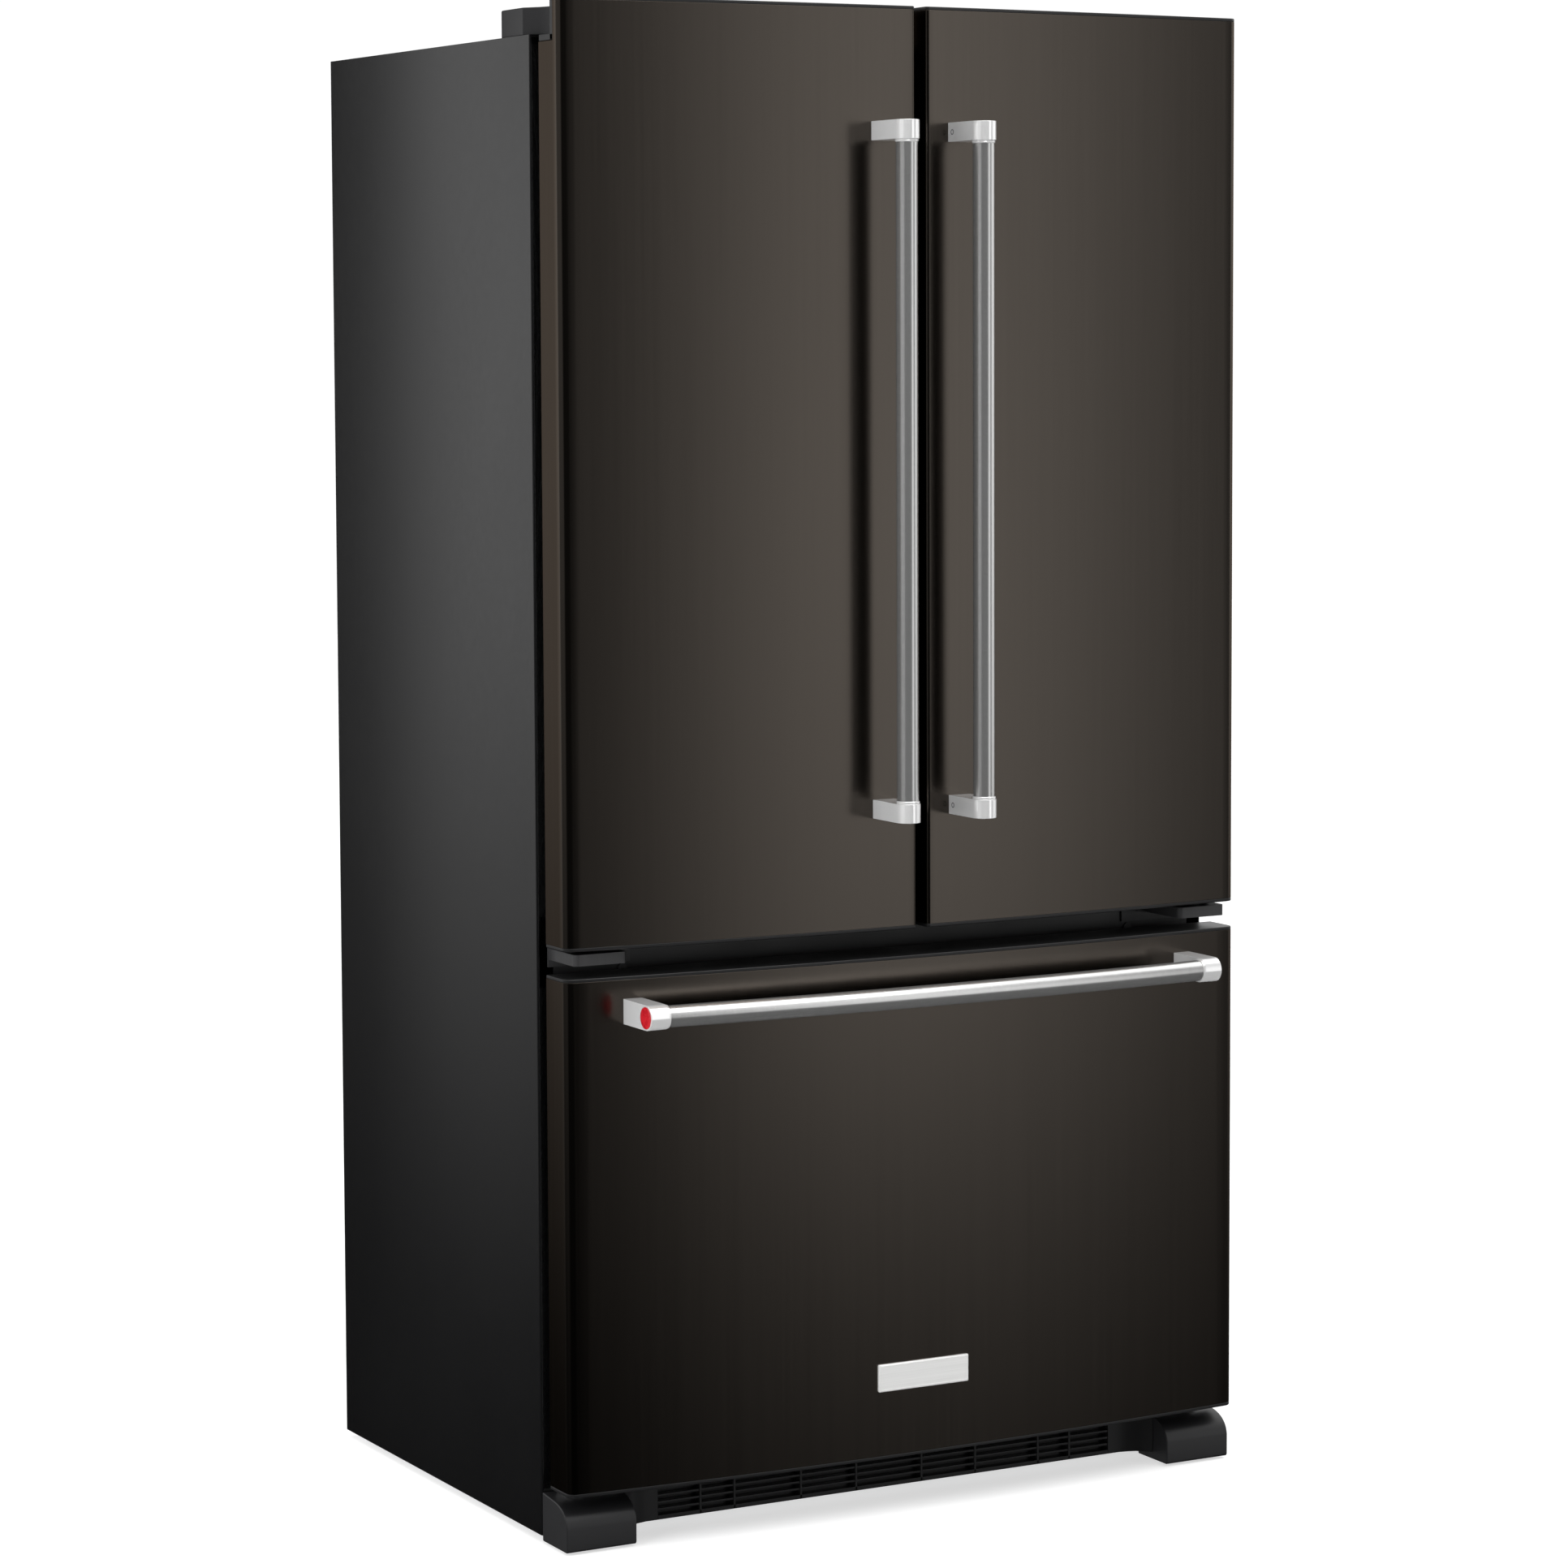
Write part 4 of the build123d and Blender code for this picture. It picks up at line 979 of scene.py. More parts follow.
class DrawerHandle:
    """Level tubular handle that follows the drawer's bow, with a red end disc and a plain badge."""

    def __init__(self, model: Model, front: FrontShape) -> None:
        """Keep what the handle is built from."""
        self.model, self.front = model, front

    def build(self) -> None:
        """Build the posts, tube, medallion and badge."""
        low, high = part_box("drawer_handle_tube")
        posts = self.model.solids("drawer_handle_posts")
        half = (posts[0][1].z - posts[0][0].z) / 2
        z = (posts[0][0].z + posts[0][1].z) / 2
        sunk = 0.5 * MM
        pieces = []
        for post_low, post_high in posts:
            left = post_low.x < 0
            span = (post_low.x, post_high.x - COLLAR) if left else (post_low.x + COLLAR, post_high.x)
            ring = (span[1] - sunk, span[1] + COLLAR) if left else (span[0] - COLLAR, span[0] + sunk)
            pieces.append(self.post((post_low.y + half, z), half, span))
            pieces.append(self.bar("collar", COLLAR_RADIUS, ring, z, 4, 0.6 * MM))
        made = joined("drawer_handle_mounts", pieces, 1.0 * MM, 4)
        self.model.add(made, "freezer_drawer", "bright_chrome", "drawer_handle_posts")
        lap = 0.4 * MM
        tube = self.bar("drawer_handle_bar", 12.5 * MM, (low.x - lap, high.x + lap), z, 61, lap)
        self.model.add(tube, "freezer_drawer", "satin_steel", "drawer_handle_tube")
        self.medallion()
        self.badge()

    def post(self, centre: Span, half: float, span: Span) -> Object:
        """A post: level sides out of the drawer and a half round nose about a centre in Y and Z."""
        z = centre[1]
        root = float(self.front.face_y(sum(span) / 2)) + 1.5 * MM
        nose = arc(centre, half, -90, -270, 25)
        return prism("post", np.vstack([nose, [(root, z + half), (root, z - half)]]), span, Axis.X)

    def bar(self, name: str, radius: float, span: Span, z: float, steps: int, edge: float) -> Object:
        """Round bar whose axis keeps its distance from the bowed face.

        Circles stand across the axis, a parabola in plan, and the last one at each end is smaller.

        Args:
            name: The piece's name.
            radius: Radius of the bar.
            span: Low and high X.
            z: Height of the axis.
            steps: Circles along the bar.
            edge: Rounding of its ends.

        Returns:
            A closed bar.
        """
        reach = 55.5 * MM
        x = np.linspace(span[0], span[1], steps)
        x = np.concatenate([x[:1], x[:1] + edge, x[1:-1], x[-1:] - edge, x[-1:]])
        radii = np.full(len(x), radius)
        radii[[0, -1]] -= edge
        y = self.front.face_y(x) - reach
        slope = 2 * self.front.bow * x / self.front.half**2
        normal = np.column_stack([-slope, np.ones_like(x)]) / np.hypot(1, slope)[:, None]
        turn = np.linspace(0, 2 * math.pi, 64, endpoint=False)
        points = np.empty((len(x), len(turn), 3))
        points[..., 0] = x[:, None] + radii[:, None] * np.cos(turn) * normal[:, :1]
        points[..., 1] = y[:, None] + radii[:, None] * np.cos(turn) * normal[:, 1:]
        points[..., 2] = z + radii[:, None] * np.sin(turn)
        return loft(name, points)

    def medallion(self) -> None:
        """Plain red disc with a low dome on the handle's left end."""
        low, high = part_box("medallion")
        centre = ((low.y + high.y) / 2, (low.z + high.z) / 2)
        radius = (high.y - low.y) / 2
        profile = [
            (radius, high.x + 0.3 * MM), (radius, low.x + 0.5 * MM), (radius - 0.3 * MM, low.x + 0.15 * MM),
            (radius - 0.9 * MM, low.x + 0.05 * MM), (radius * 0.5, low.x - 0.15 * MM),
            (0.5 * MM, low.x - 0.2 * MM)]
        made = turned("handle_medallion", profile, centre, Axis.X, 64)
        self.model.add(made, "freezer_drawer", "red_enamel", "medallion")

    def badge(self) -> None:
        """Plain plate with bevelled edges and a shallow sunk face."""
        low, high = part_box("badge_plate")
        corner = 1.5 * MM
        steps = (
            (0, high.y), (0, low.y + 1.5 * MM), (0.3 * MM, low.y + 1.1 * MM), (1.5 * MM, low.y),
            (2.6 * MM, low.y), (2.9 * MM, low.y + 0.3 * MM))
        loops = []
        for inset, y in steps:
            across, up = (low.x + inset, high.x - inset), (low.z + inset, high.z - inset)
            loops.append(place(rounded_outline(across, up, corner), y, Axis.Y))
        self.model.add(loft("badge_face", np.stack(loops)), "freezer_drawer", "badge_silver", "badge_plate")


# ---------------------------------------------------------------------------- cabinet


@dataclass(frozen=True)
class CabinetCase:
    """Painted steel case: two folded side sheets and a top sheet."""

    model: Model
    front: FrontShape

    def build(self) -> None:
        """Build both sides and the top."""
        low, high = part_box("side_panels")
        pieces = [self.side(sign, low, high) for sign in (-1, 1)]
        made = joined("case_sides", pieces)
        self.model.add(made, "cabinet", "charcoal_paint", "side_panels")
        top_low, top_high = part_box("top_panel")
        top = prism("case_top", box_outline((top_low.x, top_high.x), (top_low.y, top_high.y)),
                    (top_low.z, top_high.z), edge=0.6 * MM)
        self.model.add(top, "cabinet", "charcoal_paint", "top_panel")

    def side(self, sign: int, low: Vector, high: Vector) -> Object:
        """One side sheet with rounded folds along its front and back.

        The plan path runs from the front return round both folds to the back return, and is repeated
        at the sheet's top and bottom.

        Args:
            sign: -1 for the left side, 1 for the right.
            low: Low corner of both sides' box.
            high: High corner of both sides' box.

        Returns:
            A thickened sheet.
        """
        radius, reach = 2.5 * MM, 20 * MM
        outer = high.x
        front_fold = arc((outer - radius, low.y + radius), radius, -90, 0, 7)
        back_fold = arc((outer - radius, high.y - radius), radius, 0, 90, 7)
        path = np.vstack([[(outer - reach, low.y)], front_fold, back_fold, [(outer - reach, high.y)]])
        path[:, 0] *= sign
        if sign < 0:
            path = path[::-1]
        heights = np.repeat(np.array([[low.z], [high.z]]), len(path), axis=1)
        points = place(np.repeat(path[None], 2, axis=0), heights, Axis.Z)
        made = make_object("side", points, grid_quads(2, len(path)).tolist(), outward=False)
        thicken(made, 1.5 * MM)
        return made


@dataclass(frozen=True)
class Hinges:
    """Moulded covers over the two top hinges, and the screw heads beside the centre hinges.

    Places are millimetres from the middle in X and from the front's outer edge in depth.
    """

    model: Model
    front: FrontShape
    inner: float = 362.0
    outer: float = 449.5
    back: float = 168.0
    corner: float = 18.0
    pin: Span = (432.0, 36.0)
    pin_wall: float = 12.0
    screw: Span = (345.0, 661.0)

    def build(self) -> None:
        """Build the covers and the screw heads."""
        low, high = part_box("hinge_covers")
        pieces = [prism("cover", self.outline(sign), (low.z, high.z)) for sign in (-1, 1)]
        made = joined("top_hinge_covers", pieces, 3.2 * MM, 5)
        self.model.add(made, "cabinet", "charcoal_plastic", "hinge_covers")
        self.screw_heads()

    def outline(self, sign: int) -> Array:
        """Plan of one cover: straight sides, two rear corner arcs and an arc about the hinge pin."""
        radius, rear = self.corner, self.back - self.corner
        left = arc((self.inner + radius, rear), radius, 180, 90, 7)
        right = arc((self.outer - radius, rear), radius, 90, 0, 7)
        neck = [(self.outer, 98), (437, 80), (427, 50)]
        nose = arc(self.pin, self.pin_wall, 114.6, -131.3, 25)
        plan = np.vstack([[(self.inner, 27)], left, right, neck, nose]) * MM
        plan[:, 1] += self.front.edge_y
        plan[:, 0] *= sign
        return plan

    def screw_heads(self) -> None:
        """Bright rim and dark socket of the lower screw beside each centre hinge."""
        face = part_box("centre_rail")[0].y
        rim = [(3.7, 0.6), (3.7, -0.9), (3.4, -1.2), (2.8, -1.2), (2.5, -0.9), (2.5, 0.5)]
        socket = [(2.5, 0.5), (2.5, -0.5), (1.6, -0.5), (1.4, 0.2), (0.3, 0.2)]
        for name, profile, slot in (("rims", rim, "bright_chrome"), ("sockets", socket, "black_plastic")):
            pairs = [(radius * MM, face + y * MM) for radius, y in profile]
            x, z = self.screw
            heads = [turned("head", pairs, (sign * x * MM, z * MM), Axis.Y, 32) for sign in (-1, 1)]
            self.model.add(joined(f"hinge_screw_{name}", heads), "cabinet", slot)


@dataclass(frozen=True)
class Plinth:
    """Front of the base: slatted grille between two foot covers."""

    model: Model
    front: FrontShape
    reach: float = 310 * MM
    dividers: tuple[int, ...] = (45, 120, 209, 254)
    slats: int = 4
    pitch: float = 8.2 * MM
    first: float = 3.7 * MM

    def build(self) -> None:
        """Build the grille and the covers."""
        self.grille()
        self.foot_covers()

    def grille(self) -> None:
        """Grille of rounded slats between upright dividers, with plain curved ends."""
        low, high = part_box("base_grille")
        face, back = self.front.at(60 * MM), high.y
        reach = self.reach
        pieces = []
        curve = [(310, 60), (326, 60), (338, 57.4), (347, 54), (355, 47.8), (362.4, 40)]
        ends = np.array([*curve, (362.4, 73), (310, 73)]) * MM + (0, self.front.edge_y)
        for sign in (-1, 1):
            pieces.append(prism("end", ends * (sign, 1), (low.z, high.z)))
        for z in ((low.z, low.z + 5 * MM), (high.z - 6 * MM, high.z)):
            pieces.append(prism("frame", box_outline((-reach, reach), (face, back)), z))
        slat = np.array([(0, -1.2), (0.6, -1.7), (9, -0.4), (9, 1.0), (0.8, 1.6), (0, 1.0)]) * MM
        for row in range(1, self.slats + 1):
            middle = low.z + self.first + self.pitch * row
            pieces.append(prism("slat", slat + (face + 1.0 * MM, middle), (-reach, reach), Axis.X))
        for x in self.dividers:
            for middle in (-x, x):
                span = ((middle - 1.3) * MM, (middle + 1.3) * MM)
                pieces.append(prism("divider", box_outline(span, (face, back)), (low.z, high.z - 1 * MM)))
        backing = box_outline((-reach, reach), (back - 2 * MM, back - 0.5 * MM))
        pieces.append(prism("backing", backing, (low.z + 1 * MM, high.z - 1 * MM)))
        made = joined("plinth_grille", pieces, 0.35 * MM, 2)
        self.model.add(made, "cabinet", "black_plastic", "base_grille")

    def foot_covers(self) -> None:
        """Covers over the feet: a brow that rounds back from the front, with soft ends."""
        pieces = []
        for low, high in self.model.solids("foot_covers"):
            turn = np.linspace(0, 1, 13)[:, None]
            points = np.array([(9, 30), (10.5, 46), (24, 55), (46, 57)]) * MM + (self.front.edge_y, 0)
            brow = ((1 - turn) ** 3 * points[0] + 3 * (1 - turn) ** 2 * turn * points[1]
                    + 3 * (1 - turn) * turn**2 * points[2] + turn**3 * points[3])
            back, floor = high.y, low.z
            toe = [(self.front.at(11 * MM), floor), (self.front.at(9 * MM), floor + 2 * MM)]
            outline = np.vstack([[(back, floor)], toe, brow, [(back, high.z)]])
            pieces.append(prism("cover", outline, (low.x, high.x), Axis.X))
        made = joined("plinth_foot_covers", pieces, 4.0 * MM, 5)
        self.model.add(made, "cabinet", "charcoal_plastic", "foot_covers")


# ---------------------------------------------------------------------------- interior


@dataclass(frozen=True)
class MouldedBin:
    """Open bin with draft, rounded corners, a soft floor edge and a thick rim."""

    wall: float = 3 * MM
    draft: float = 5 * MM
    corner: float = 16 * MM

    def build(self, name: str, low: Vector, high: Vector) -> Object:
        """Build a bin inside a box.

        Rounded rectangles rise outside from the floor to the rim, turn over it, and go down inside.
        Each has its own inset from the box, so the walls lean outwards and the rim stands proud.

        Args:
            name: The piece's name.
            low: Low corner of the box.
            high: High corner of the box.

        Returns:
            A closed mesh object.
        """
        wall, draft = self.wall, self.draft
        levels = np.array([
            (draft + 5 * MM, low.z), (draft + 1.4 * MM, low.z + 1.2 * MM), (draft, low.z + 5 * MM),
            (1.2 * MM, high.z - 11 * MM), (0, high.z - 10 * MM), (0, high.z - 0.8 * MM), (0.8 * MM, high.z),
            (wall, high.z), (wall + 0.8 * MM, high.z - 0.8 * MM), (draft + wall, low.z + 8 * MM),
            (draft + wall + 1.5 * MM, low.z + wall + 1.2 * MM), (draft + wall + 5 * MM, low.z + wall)])
        loops = []
        for inset, z in levels:
            across, depth = (low.x + inset, high.x - inset), (low.y + inset, high.y - inset)
            loops.append(place(rounded_outline(across, depth, self.corner - inset * 0.5), z, Axis.Z))
        return loft(name, np.stack(loops))


@dataclass(frozen=True)
class Storage:
    """Bins, crispers, the pantry drawer and the freezer's baskets."""

    model: Model

    def build(self) -> None:
        """Build each container from its CAD box."""
        for side in ("left", "right"):
            node = f"{side}_door_bins"
            for number, (low, high) in enumerate(self.model.solids(node)):
                made = MouldedBin().build(f"{side}_door_bin_{number + 1}", low, high)
                self.model.add(made, f"{side}_door", "clear_plastic", node)
                outline = rounded_outline(
                    (low.x + 4 * MM, high.x - 4 * MM), (high.y - 3.4 * MM, high.y - 0.2 * MM), 1.2 * MM, 3)
                band = prism(f"{side}_door_bin_band_{number + 1}", outline,
                             (high.z - 30 * MM, high.z - 12 * MM), edge=0.8 * MM)
                self.model.add(band, f"{side}_door", "frost_plastic", node)
        for name in ("crisper_left", "crisper_right", "pantry_drawer"):
            low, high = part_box(name)
            self.model.add(MouldedBin().build(f"{name}_box", low, high), name, "clear_plastic", name)
            grip = np.array([(0, -26), (0, -3), (1.5, -0.6), (4, 0), (10, 0), (11.8, -1.4), (12, -4),
                             (10.5, -4.6), (9.6, -2.8), (4.6, -2.6), (3.2, -4.5), (3, -26)]) * MM
            outline = grip + (low.y, high.z)
            made = prism(f"{name}_grip", outline, (low.x + 14 * MM, high.x - 14 * MM), Axis.X, 0.5 * MM, 2)
            self.model.add(made, name, "frost_plastic", name)
        for name, body in (("lower_basket", "freezer_drawer"), ("upper_basket", "upper_basket")):
            low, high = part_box(name)
            made = MouldedBin(4 * MM, 9 * MM, 26 * MM).build(f"{name}_tub", low, high)
            self.model.add(made, body, "frost_plastic", name)


@dataclass(frozen=True)
class Shelving:
    """Glass shelves with moulded edge trims, and the framed covers over the crispers."""

    model: Model
    front: FrontShape
    slab: float = 10 * MM
    pantry_top: float = 860 * MM
    frame: float = 8 * MM
    half_post: float = 4 * MM

    def build(self) -> None:
        """Build each shelf from its slab, and the covers from theirs."""
        node = "glass_shelves"
        plates, trims = [], []
        for low, high in self.model.solids(node):
            across, depth, up = (low.x, high.x), (low.y, high.y), (low.z, high.z)
            if high.z - low.z < self.slab:
                plates.append(prism("plate", box_outline(across, depth), up))
                trims += self.trims(across, depth, up)
            else:
                glass, frame = self.covers(across, depth, up)
                plates += glass
                trims += frame
        self.model.add(joined("shelf_plates", plates, 0.8 * MM, 2), "cabinet", "shelf_glass", node)
        self.model.add(joined("shelf_trims", trims, 1.0 * MM, 2), "cabinet", "white_liner", node)

    def trims(self, across: Span, depth: Span, up: Span) -> list[Object]:
        """Front and back trims that grip a plate's edges."""
        front = (depth[0] - 2 * MM, depth[0] + 9 * MM)
        back = (depth[1] - 8 * MM, depth[1])
        return [prism("trim", box_outline(across, y), (up[0] - 0.05 * MM, up[1] + rise))
                for y, rise in ((front, 3 * MM), (back, 2 * MM))]

    def covers(self, across: Span, depth: Span, up: Span) -> tuple[list[Object], list[Object]]:
        """Two framed glass covers, one over the crispers and one over the pantry drawer.

        Args:
            across: Span in X of the whole frame.
            depth: Span in Y.
            up: Span in Z.

        Returns:
            The plates and the bars of the frame.
        """
        half, floor = self.half_post, self.pantry_top - self.frame
        plates, bars = [], []
        for top in (up[1], self.pantry_top):
            base = top - self.frame
            for span in ((across[0], -half), (half, across[1])):
                outline = box_outline(span, (depth[0] + 2 * MM, depth[1] - 2 * MM))
                plates.append(prism("plate", outline, (base + 2 * MM, top - 1 * MM)))
            for y in ((depth[0], depth[0] + 14 * MM), (depth[1] - 10 * MM, depth[1])):
                bars.append(prism("trim", box_outline(across, y), (base, top)))
        bars.append(prism("trim", box_outline((-half, half), depth), (floor, up[1])))
        for outer, wall in ((across[0], 5 * MM), (across[1], -5 * MM)):
            bars.append(prism("trim", box_outline((outer + wall, outer), depth), (up[0], floor)))
        return plates, bars


@dataclass(frozen=True)
class Liner:
    """Moulded inside of a compartment: floor, back, ceiling and two sides with soft corners."""

    name: str
    node: str
    profile: tuple[Span, ...]
    flange: Span
    opening: Span
    half: float = 405 * MM
    flange_half: float = 450.6 * MM
    flange_depth: Span = (74 * MM, 75.8 * MM)
    wall: float = 2 * MM
    corner: float = 16 * MM

    def build(self, model: Model, front: FrontShape, ribs: Sequence[tuple[Span, Span, Span]]) -> None:
        """Build the shell, the flange round its mouth and its ribs.

        Args:
            model: The model.
            front: Plan of the front, for depths.
            ribs: Spans in X, depth and Z of each rib on the walls.
        """
        half = self.half
        outline = np.array(self.profile) * MM + (front.edge_y, 0)
        count = len(outline)
        points = np.concatenate([place(outline, x, Axis.X) for x in (-half, half)])
        faces = grid_quads(2, count).tolist() + [list(range(count)), list(range(count, 2 * count))[::-1]]
        shell = make_object(f"{self.name}_shell", points, faces)
        round_edges(shell, self.corner, 6)
        solid = shell.modifiers.new("Wall", "SOLIDIFY")
        solid.thickness, solid.offset = self.wall, 1.0
        model.add(shell, "cabinet", "white_liner", self.node)
        face = (front.at(self.flange_depth[0]), front.at(self.flange_depth[1]))
        pieces = []
        for sign in (-1, 1):
            outline = box_outline((sign * half, sign * self.flange_half), face)
            pieces.append(prism("flange", outline, self.flange))
        for z in ((self.flange[0], self.opening[0]), (self.opening[1], self.flange[1])):
            pieces.append(prism("flange", box_outline((-half, half), face), z))
        model.add(joined(f"{self.name}_flange", pieces, 0.6 * MM, 2), "cabinet", "white_liner", self.node)
        bars = [prism("rib", box_outline(x, (front.at(y[0]), front.at(y[1]))), z) for x, y, z in ribs]
        model.add(joined(f"{self.name}_ribs", bars, 1.6 * MM), "cabinet", "white_liner", self.node)


@dataclass(frozen=True)
class Compartments:
    """The food compartment above and the freezer below."""

    model: Model
    front: FrontShape
    wall: float = 405 * MM
    spare_level: float = 1040.1 * MM
    paired_below: float = 1100 * MM

    def build(self) -> None:
        """Build both liners with the ribs that carry shelves and the basket."""
        food = ((74, 735), (590, 735), (590, 1680), (74, 1680))
        Liner("food", "food_liner", food, (694 * MM, 1720.6 * MM), (735 * MM, 1680 * MM)).build(
            self.model, self.front, self.shelf_ribs())
        cold = ((74, 110), (385, 110), (385, 300), (590, 300), (590, 640), (74, 640))
        ledges = [(self.ledge(sign, 18 * MM), (140 * MM, 530 * MM), (590 * MM, 596 * MM)) for sign in (-1, 1)]
        Liner("freezer", "freezer_liner", cold, (63 * MM, 658 * MM), (110 * MM, 640 * MM)).build(
            self.model, self.front, ledges)

    def ledge(self, sign: int, reach: float) -> Span:
        """Span in X of a ledge that stands out from one side wall."""
        return sign * (self.wall - reach), sign * self.wall

    def shelf_ribs(self) -> list[tuple[Span, Span, Span]]:
        """Ribs that carry shelves: low ones on both walls, high ones only on the side of their shelf."""
        slabs = self.model.solids("glass_shelves")
        heights = sorted({round(low.z, 4) for low, high in slabs if high.z - low.z < Shelving.slab})
        ribs = []
        for sign in (-1, 1):
            for z in (*heights, self.spare_level):
                level = (z - 6.1 * MM, z - 0.1 * MM)
                if z <= self.paired_below or self.holds(sign, z):
                    ribs.append((self.ledge(sign, 8 * MM), (240 * MM, 590 * MM), level))
        return ribs

    def holds(self, sign: int, z: float) -> bool:
        """True where a side has a shelf at a height."""
        return any(abs(low.z - z) < 1 * MM and low.x * sign + high.x * sign > 0
                   for low, high in self.model.solids("glass_shelves"))


@dataclass(frozen=True)
class InnerPanel:
    """White inside of a door: a flat panel and a raised rim that holds the bins."""

    model: Model
    front: FrontShape
    side: str
    sign: int
    span: Span = (8.8 * MM, 451.0 * MM)
    depth: Span = (49 * MM, 51 * MM)
    gap: float = 0.3 * MM
    rim_across: Span = (34 * MM, 395 * MM)
    rim_up: Span = (740 * MM, 1675 * MM)
    rim_corner: float = 24 * MM

    def build(self) -> None:
        """Build the panel and its rim as one piece."""
        made = joined(f"{self.side}_door_inner_panel", [self.panel(), self.rim()], 0.8 * MM, 2)
        self.model.add(made, f"{self.side}_door", "white_liner", f"{self.side}_door_liner")

    def panel(self) -> Object:
        """Flat panel with a corner left out for the hinge notch."""
        low, high = (corner.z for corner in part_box(f"{self.side}_door_liner"))
        notch = Notch()
        inner, outer = (self.sign * x for x in self.span)
        clear, floor = self.sign * (notch.x - notch.rim - self.gap), notch.floor - notch.rim - self.gap
        outline = [(inner, low), (outer, low), (outer, floor), (clear, floor), (clear, high), (inner, high)]
        depth = (self.front.at(self.depth[0]), self.front.at(self.depth[1]))
        return prism("panel", np.array(outline), depth, Axis.Y)

    def rim(self) -> Object:
        """Raised rim: rounded rectangles that rise from the panel, turn over and go down inside."""
        steps = ((-3, 50.9), (0, 53), (1.0, 104), (2.6, 108.4), (6, 110), (18, 110), (21.5, 108.4),
                 (23, 104), (24, 60), (27, 55.2), (33, 53))
        loops = []
        for inset, depth in steps:
            step = inset * MM
            across = (self.sign * (self.rim_across[0] + step), self.sign * (self.rim_across[1] - step))
            outline = rounded_outline(
                across, (self.rim_up[0] + step, self.rim_up[1] - step), self.rim_corner - step * 0.35, 8)
            loops.append(place(outline, self.front.at(depth * MM), Axis.Y))
        return loft("rim", np.stack(loops))


@dataclass(frozen=True)
class DrawerInner:
    """White inside of the freezer drawer's front, with a low raised middle."""

    model: Model
    front: FrontShape
    half: float = 395 * MM
    raised: Span = (115 * MM, 625 * MM)

    def build(self) -> None:
        """Build the panel and the raised middle as rounded rectangles that step inwards."""
        low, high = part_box("drawer_liner")
        edge = ((0, 49), (0, 50.4), (0.6, 51))
        middle = ((0, 51), (1.5, 60), (4, 64.6), (9, 66), (40, 66), (46, 63), (60, 62))
        loops = []
        for steps, across, up, corner in (
            (edge, (low.x, high.x), (low.z, high.z), 2 * MM),
            (middle, (-self.half, self.half), self.raised, 30 * MM),
        ):
            for inset, depth in steps:
                step = inset * MM
                outline = rounded_outline(
                    (across[0] + step, across[1] - step), (up[0] + step, up[1] - step), corner, 8)
                loops.append(place(outline, self.front.at(depth * MM), Axis.Y))
        made = loft("drawer_inner_panel", np.stack(loops))
        self.model.add(made, "freezer_drawer", "white_liner", "drawer_liner")


# ---------------------------------------------------------------------------- studio


@dataclass(frozen=True)
class StudioCamera:
    """Camera to the front left at chest height, looking slightly down."""

    place: tuple[float, float, float] = (-2.6175, -4.7755, 1.3977)
    heading: float = 28.546
    dip: float = 4.532
    roll: float = -0.233
    lens: float = 102.63
    shift: float = -0.0673

    def build(self) -> None:
        """Make the camera: its axes come from the heading, the dip and the roll."""
        heading, dip, roll = (math.radians(angle) for angle in (self.heading, self.dip, self.roll))
        ahead = Vector((math.sin(heading) * math.cos(dip), math.cos(heading) * math.cos(dip), -math.sin(dip)))
        right = Vector((math.cos(heading), -math.sin(heading), 0))
        up = right.cross(ahead)
        right, up = right * math.cos(roll) + up * math.sin(roll), up * math.cos(roll) - right * math.sin(roll)
        turn = Matrix((right, up, -ahead)).transposed().to_4x4()
        data = bpy.data.cameras.new("Studio camera")
        data.lens, data.sensor_width, data.shift_y = self.lens, 36.0, self.shift
        made = bpy.data.objects.new("Studio camera", data)
        made.matrix_world = Matrix.Translation(self.place) @ turn
        bpy.context.scene.collection.objects.link(made)
        bpy.context.scene.camera = made


class WorldTree:
    """The world's node tree, with short calls for its math."""

    def __init__(self) -> None:
        """Start a world and split each direction into X, Y and Z."""
        world = bpy.data.worlds.new("Studio light")
        world.use_nodes = True
        bpy.context.scene.world = world
        self.nodes, self.links = world.node_tree.nodes, world.node_tree.links
        self.background = self.nodes["Background"]
        split = self.nodes.new("ShaderNodeSeparateXYZ")
        self.links.new(self.nodes.new("ShaderNodeTexCoord").outputs["Generated"], split.inputs[0])
        self.x, self.y, self.z = split.outputs

    def math(self, kind: str, first: Socket | float, second: Socket | float = 0.0) -> Socket:
        """Result of one math node."""
        node = self.nodes.new("ShaderNodeMath")
        node.operation = kind
        for socket, given in zip(node.inputs, (first, second)):
            if isinstance(given, bpy.types.NodeSocket):
                self.links.new(given, socket)
            else:
                socket.default_value = given
        return node.outputs[0]

    def rise(self, given: Socket, span: Span) -> Socket:
        """A smooth step from 0 at the span's start to 1 at its end."""
        node = self.nodes.new("ShaderNodeMapRange")
        node.interpolation_type = "SMOOTHERSTEP"
        node.inputs["From Min"].default_value, node.inputs["From Max"].default_value = span
        self.links.new(given, node.inputs["Value"])
        return node.outputs["Result"]

    def fall(self, given: Socket, span: Span) -> Socket:
        """A smooth step from 1 at the span's start to 0 at its end."""
        return self.math("SUBTRACT", 1.0, self.rise(given, span))


